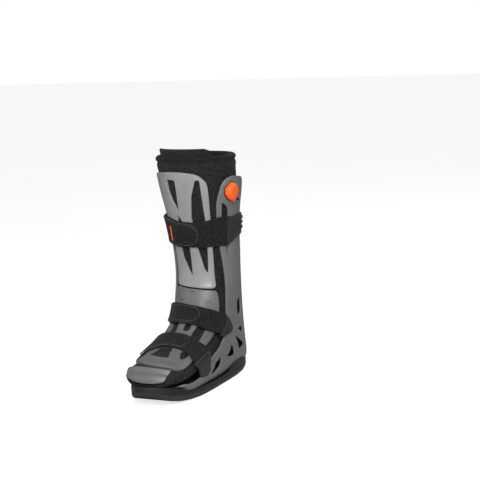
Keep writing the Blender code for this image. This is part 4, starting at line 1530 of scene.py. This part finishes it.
@dataclass
class Pump:
    """The orange pump button and its release valve.

    Attributes:
        crease: rounding between the button's facets.
    """

    crease: float = 0.8

    def build(self, wardrobe: Wardrobe) -> None:
        """Builds the button and the valve."""
        place_piece(self._button(wardrobe), "pump", "pump_button")
        place_piece(self._valve(wardrobe), "boot", "pump_valve")

    def _button(self, wardrobe: Wardrobe) -> bpy.types.Object:
        """The faceted button."""
        seat, out = pump_frame()
        levels = [(0.0, -PUMP_SINK)] + [(inset, share * PUMP_HEIGHT) for inset, share in PUMP_LEVELS]
        bm = bmesh.new()
        ring = [bm.verts.new((0, 0, 0)) for _ in pump_loop(0.0)]
        face = bm.faces.new(ring)
        rings = [ring]
        for level in range(1, len(levels)):
            face = raise_face(bm, face, keep=level == 1)
            rings.append(list(face.verts))
        for ring, (inset, level) in zip(rings, levels):
            flat = pump_loop(inset)
            station, degree = flat[:, 1] / STATION_LENGTH, flat[:, 0] / DEGREE_LENGTH
            foot = on_base(station, degree, np.zeros(len(flat)))
            uneven = (foot - seat) @ out * smooth_step(0, PUMP_HEIGHT, max(level, 0.0))
            for corner, place in zip(ring, (foot + out * (level - uneven)[:, None]) * MM):
                corner.co = place
        bmesh.ops.recalc_face_normals(bm, faces=bm.faces[:])
        bmesh.ops.bevel(
            bm, geom=bm.edges[:], offset=self.crease * MM, offset_type="OFFSET", segments=3, profile=0.5,
            affect="EDGES", material=-1
        )
        return finish_piece(bm, "pump_press", wardrobe.of(Coat.PUMP), 60.0)

    @staticmethod
    def _valve(wardrobe: Wardrobe) -> bpy.types.Object:
        """The small round valve beside the button."""
        station, degree = np.array(VALVE_STATION), np.array(VALVE_DEGREE)
        seat = on_base(station, degree, np.array(LAYER_GAP))
        out = on_base(station, degree, np.array(1.0 + LAYER_GAP)) - seat
        bm = bmesh.new()
        bmesh.ops.create_cone(
            bm, cap_ends=True, segments=32, depth=VALVE_HEIGHT, radius1=VALVE_RADIUS, radius2=VALVE_TOP_RADIUS
        )
        rims = [edge for edge in bm.edges if abs(edge.verts[0].co.z - edge.verts[1].co.z) < 0.01]
        bmesh.ops.bevel(bm, geom=rims, offset=0.4, segments=2, profile=0.5, affect="EDGES", material=-1)
        aside = np.cross((0, 0, 1), out)
        aside /= np.linalg.norm(aside)
        up = np.cross(out, aside)
        flat = np.array([corner.co for corner in bm.verts])
        places = seat + flat[:, :1] * aside + flat[:, 1:2] * up + (flat[:, 2:] + VALVE_HEIGHT / 2) * out
        for corner, place in zip(bm.verts, places * MM):
            corner.co = place
        return finish_piece(bm, "pump_release", wardrobe.of(Coat.TAB))


@dataclass
class Outsole:
    """The rocker sole.

    Attributes:
        points: corners of its outline.
        tread_pitch: distance between the cross grooves of the tread.
        tread_depth: their depth.
        side_line: depth of the line round the sole's side.
        lower_edge: rounding of the lower edge.
        heel_lip: how far the sole's lip rises round the heel.
        toe_lip: how far it rises round the toe.
        toe_tuck: how far the toe's lower edge is drawn in.
        toe_narrowing: share of its width that the toe's lower edge loses.
        line_share: height of the side line, as a share of the sole's height.
        most_rise: the most that the lower edge rises, as a share of the sole's height.
        groove_reach: half of a tread groove's width, as a share of the pitch.
        cut_step: length of a facet along the sole.
        heel_range: where the lip rises at the heel, in millimetres behind the middle.
        toe_range: where it rises at the toe, in millimetres before the middle.
        bend_range: where the rise of the lower edge doubles, before the middle.
        tuck_range: where the lower edge is drawn in, before the middle.
    """

    points: int = 180
    tread_pitch: float = 12.0
    tread_depth: float = 1.4
    side_line: float = 0.8
    lower_edge: float = SOLE_EDGE
    heel_lip: float = 12.0
    toe_lip: float = 6.0
    toe_tuck: float = 9.0
    toe_narrowing: float = 0.16
    line_share: float = 0.60
    most_rise: float = 0.55
    groove_reach: float = 0.09
    cut_step: float = 4.1
    heel_range: tuple[float, float] = (24.0, 78.0)
    toe_range: tuple[float, float] = (80.0, 140.0)
    bend_range: tuple[float, float] = (125.0, 165.0)
    tuck_range: tuple[float, float] = (115.0, 165.0)

    def build(self, wardrobe: Wardrobe) -> None:
        """Builds the sole from rings, each an inset and a height between the underside and the top."""
        rings = self._rings()
        bm = bmesh.new()
        x, y = sole_outline(rings[0][0], self.points)
        face = bm.faces.new([bm.verts.new((px, py, 0)) for px, py in zip(x, y)])
        for level, (inset, _, _) in enumerate(rings[1:], start=1):
            face = raise_face(bm, face, keep=level == 1)
            for corner, px, py in zip(face.verts, *sole_outline(inset, self.points)):
                corner.co = (px, py, level)
        for place in self._cuts():
            everything = bm.verts[:] + bm.edges[:] + bm.faces[:]
            bmesh.ops.bisect_plane(bm, geom=everything, dist=0.01, plane_co=(0, place, 0), plane_no=(0, 1, 0))
        flat = np.array([corner.co for corner in bm.verts])
        level = np.rint(flat[:, 2]).astype(int)
        bm.verts.index_update()
        behind, ahead = flat[:, 1].copy(), -flat[:, 1]
        inset, share, rise = np.array(rings)[level].T
        low, high = sole_underside(behind), sole_top(behind)
        lifted = np.minimum(rise * (1 + smooth_step(*self.bend_range, ahead)), self.most_rise * (high - low))
        height = low + share * (high - low) + np.where(share > 0.5, -rise, lifted)
        lip = (level >= len(rings) - 4) & (level < len(rings) - 1)
        wave = self.heel_lip * smooth_step(*self.heel_range, behind)
        wave += self.toe_lip * smooth_step(*self.toe_range, ahead)
        height += np.where(lip, wave, 0)
        groove = np.abs(behind / self.tread_pitch - np.rint(behind / self.tread_pitch)) < self.groove_reach
        height += np.where(groove & (level == 0), self.tread_depth, 0)
        tuck = np.where(share > 0, 0, inset / self.lower_edge) * smooth_step(*self.tuck_range, ahead)
        flat[:, 2] = height
        flat[:, 0] *= 1 - self.toe_narrowing * tuck
        flat[:, 1] += self.toe_tuck * tuck
        for corner, place in zip(bm.verts, flat * MM):
            corner.co = place
        for face in bm.faces:
            face.material_index = int(min(level[corner.index] for corner in face.verts) >= len(rings) - 5)
        place_piece(finish_piece(bm, "rocker_sole", wardrobe.of(Coat.SOLE, Coat.SOLE_LIP)), "boot", "outsole")

    def _rings(self) -> list[tuple[float, float, float]]:
        """Inset, share of the height, and rise above it (or sink below the top) of each ring.

        Returns:
            One row for each ring, from the underside to the top.
        """
        turns = np.linspace(0, math.pi / 2, 5)
        edge = self.lower_edge
        lower = [(edge * (1 - math.sin(turn)), 0.0, edge * (1 - math.cos(turn))) for turn in turns]
        line, share = self.side_line, self.line_share
        middle = [(0.0, share, 1.2), (line, share, 0.6), (line, share, 0.0), (0.0, share, -0.6)]
        upper = [(0.0, 1.0, 1.2), (0.35, 1.0, 0.35), (1.2, 1.0, 0.0), (1.6, 1.0, 0.5)]
        return lower + middle + upper

    def _cuts(self) -> list[float]:
        """Places along y where the sole is cut across, so that it can bend and take its grooves."""
        low, high = SOLE_TOE_Y * BOOT_LENGTH, SOLE_HEEL_Y * BOOT_LENGTH
        grooves = np.arange(math.ceil(low / self.tread_pitch), math.floor(high / self.tread_pitch) + 1)
        middles = grooves * self.tread_pitch
        sides = [middle + offset for offset in (-1.5, -1.0, 1.0, 1.5) for middle in middles]
        return sorted([*sides, *np.arange(low, high, self.cut_step)])


def main() -> None:
    """Builds the boot's pieces in order and then the studio."""
    logging.basicConfig(level=logging.INFO, format="%(name)s %(message)s")
    wardrobe = Wardrobe()
    for part in (Outsole(), BaseShell(), Liner(), FrontPlates(), Straps(), Pump()):
        logger.info("building %s", type(part).__name__)
        part.build(wardrobe)
    Studio().build(wardrobe)


if __name__ == "__main__":
    main()
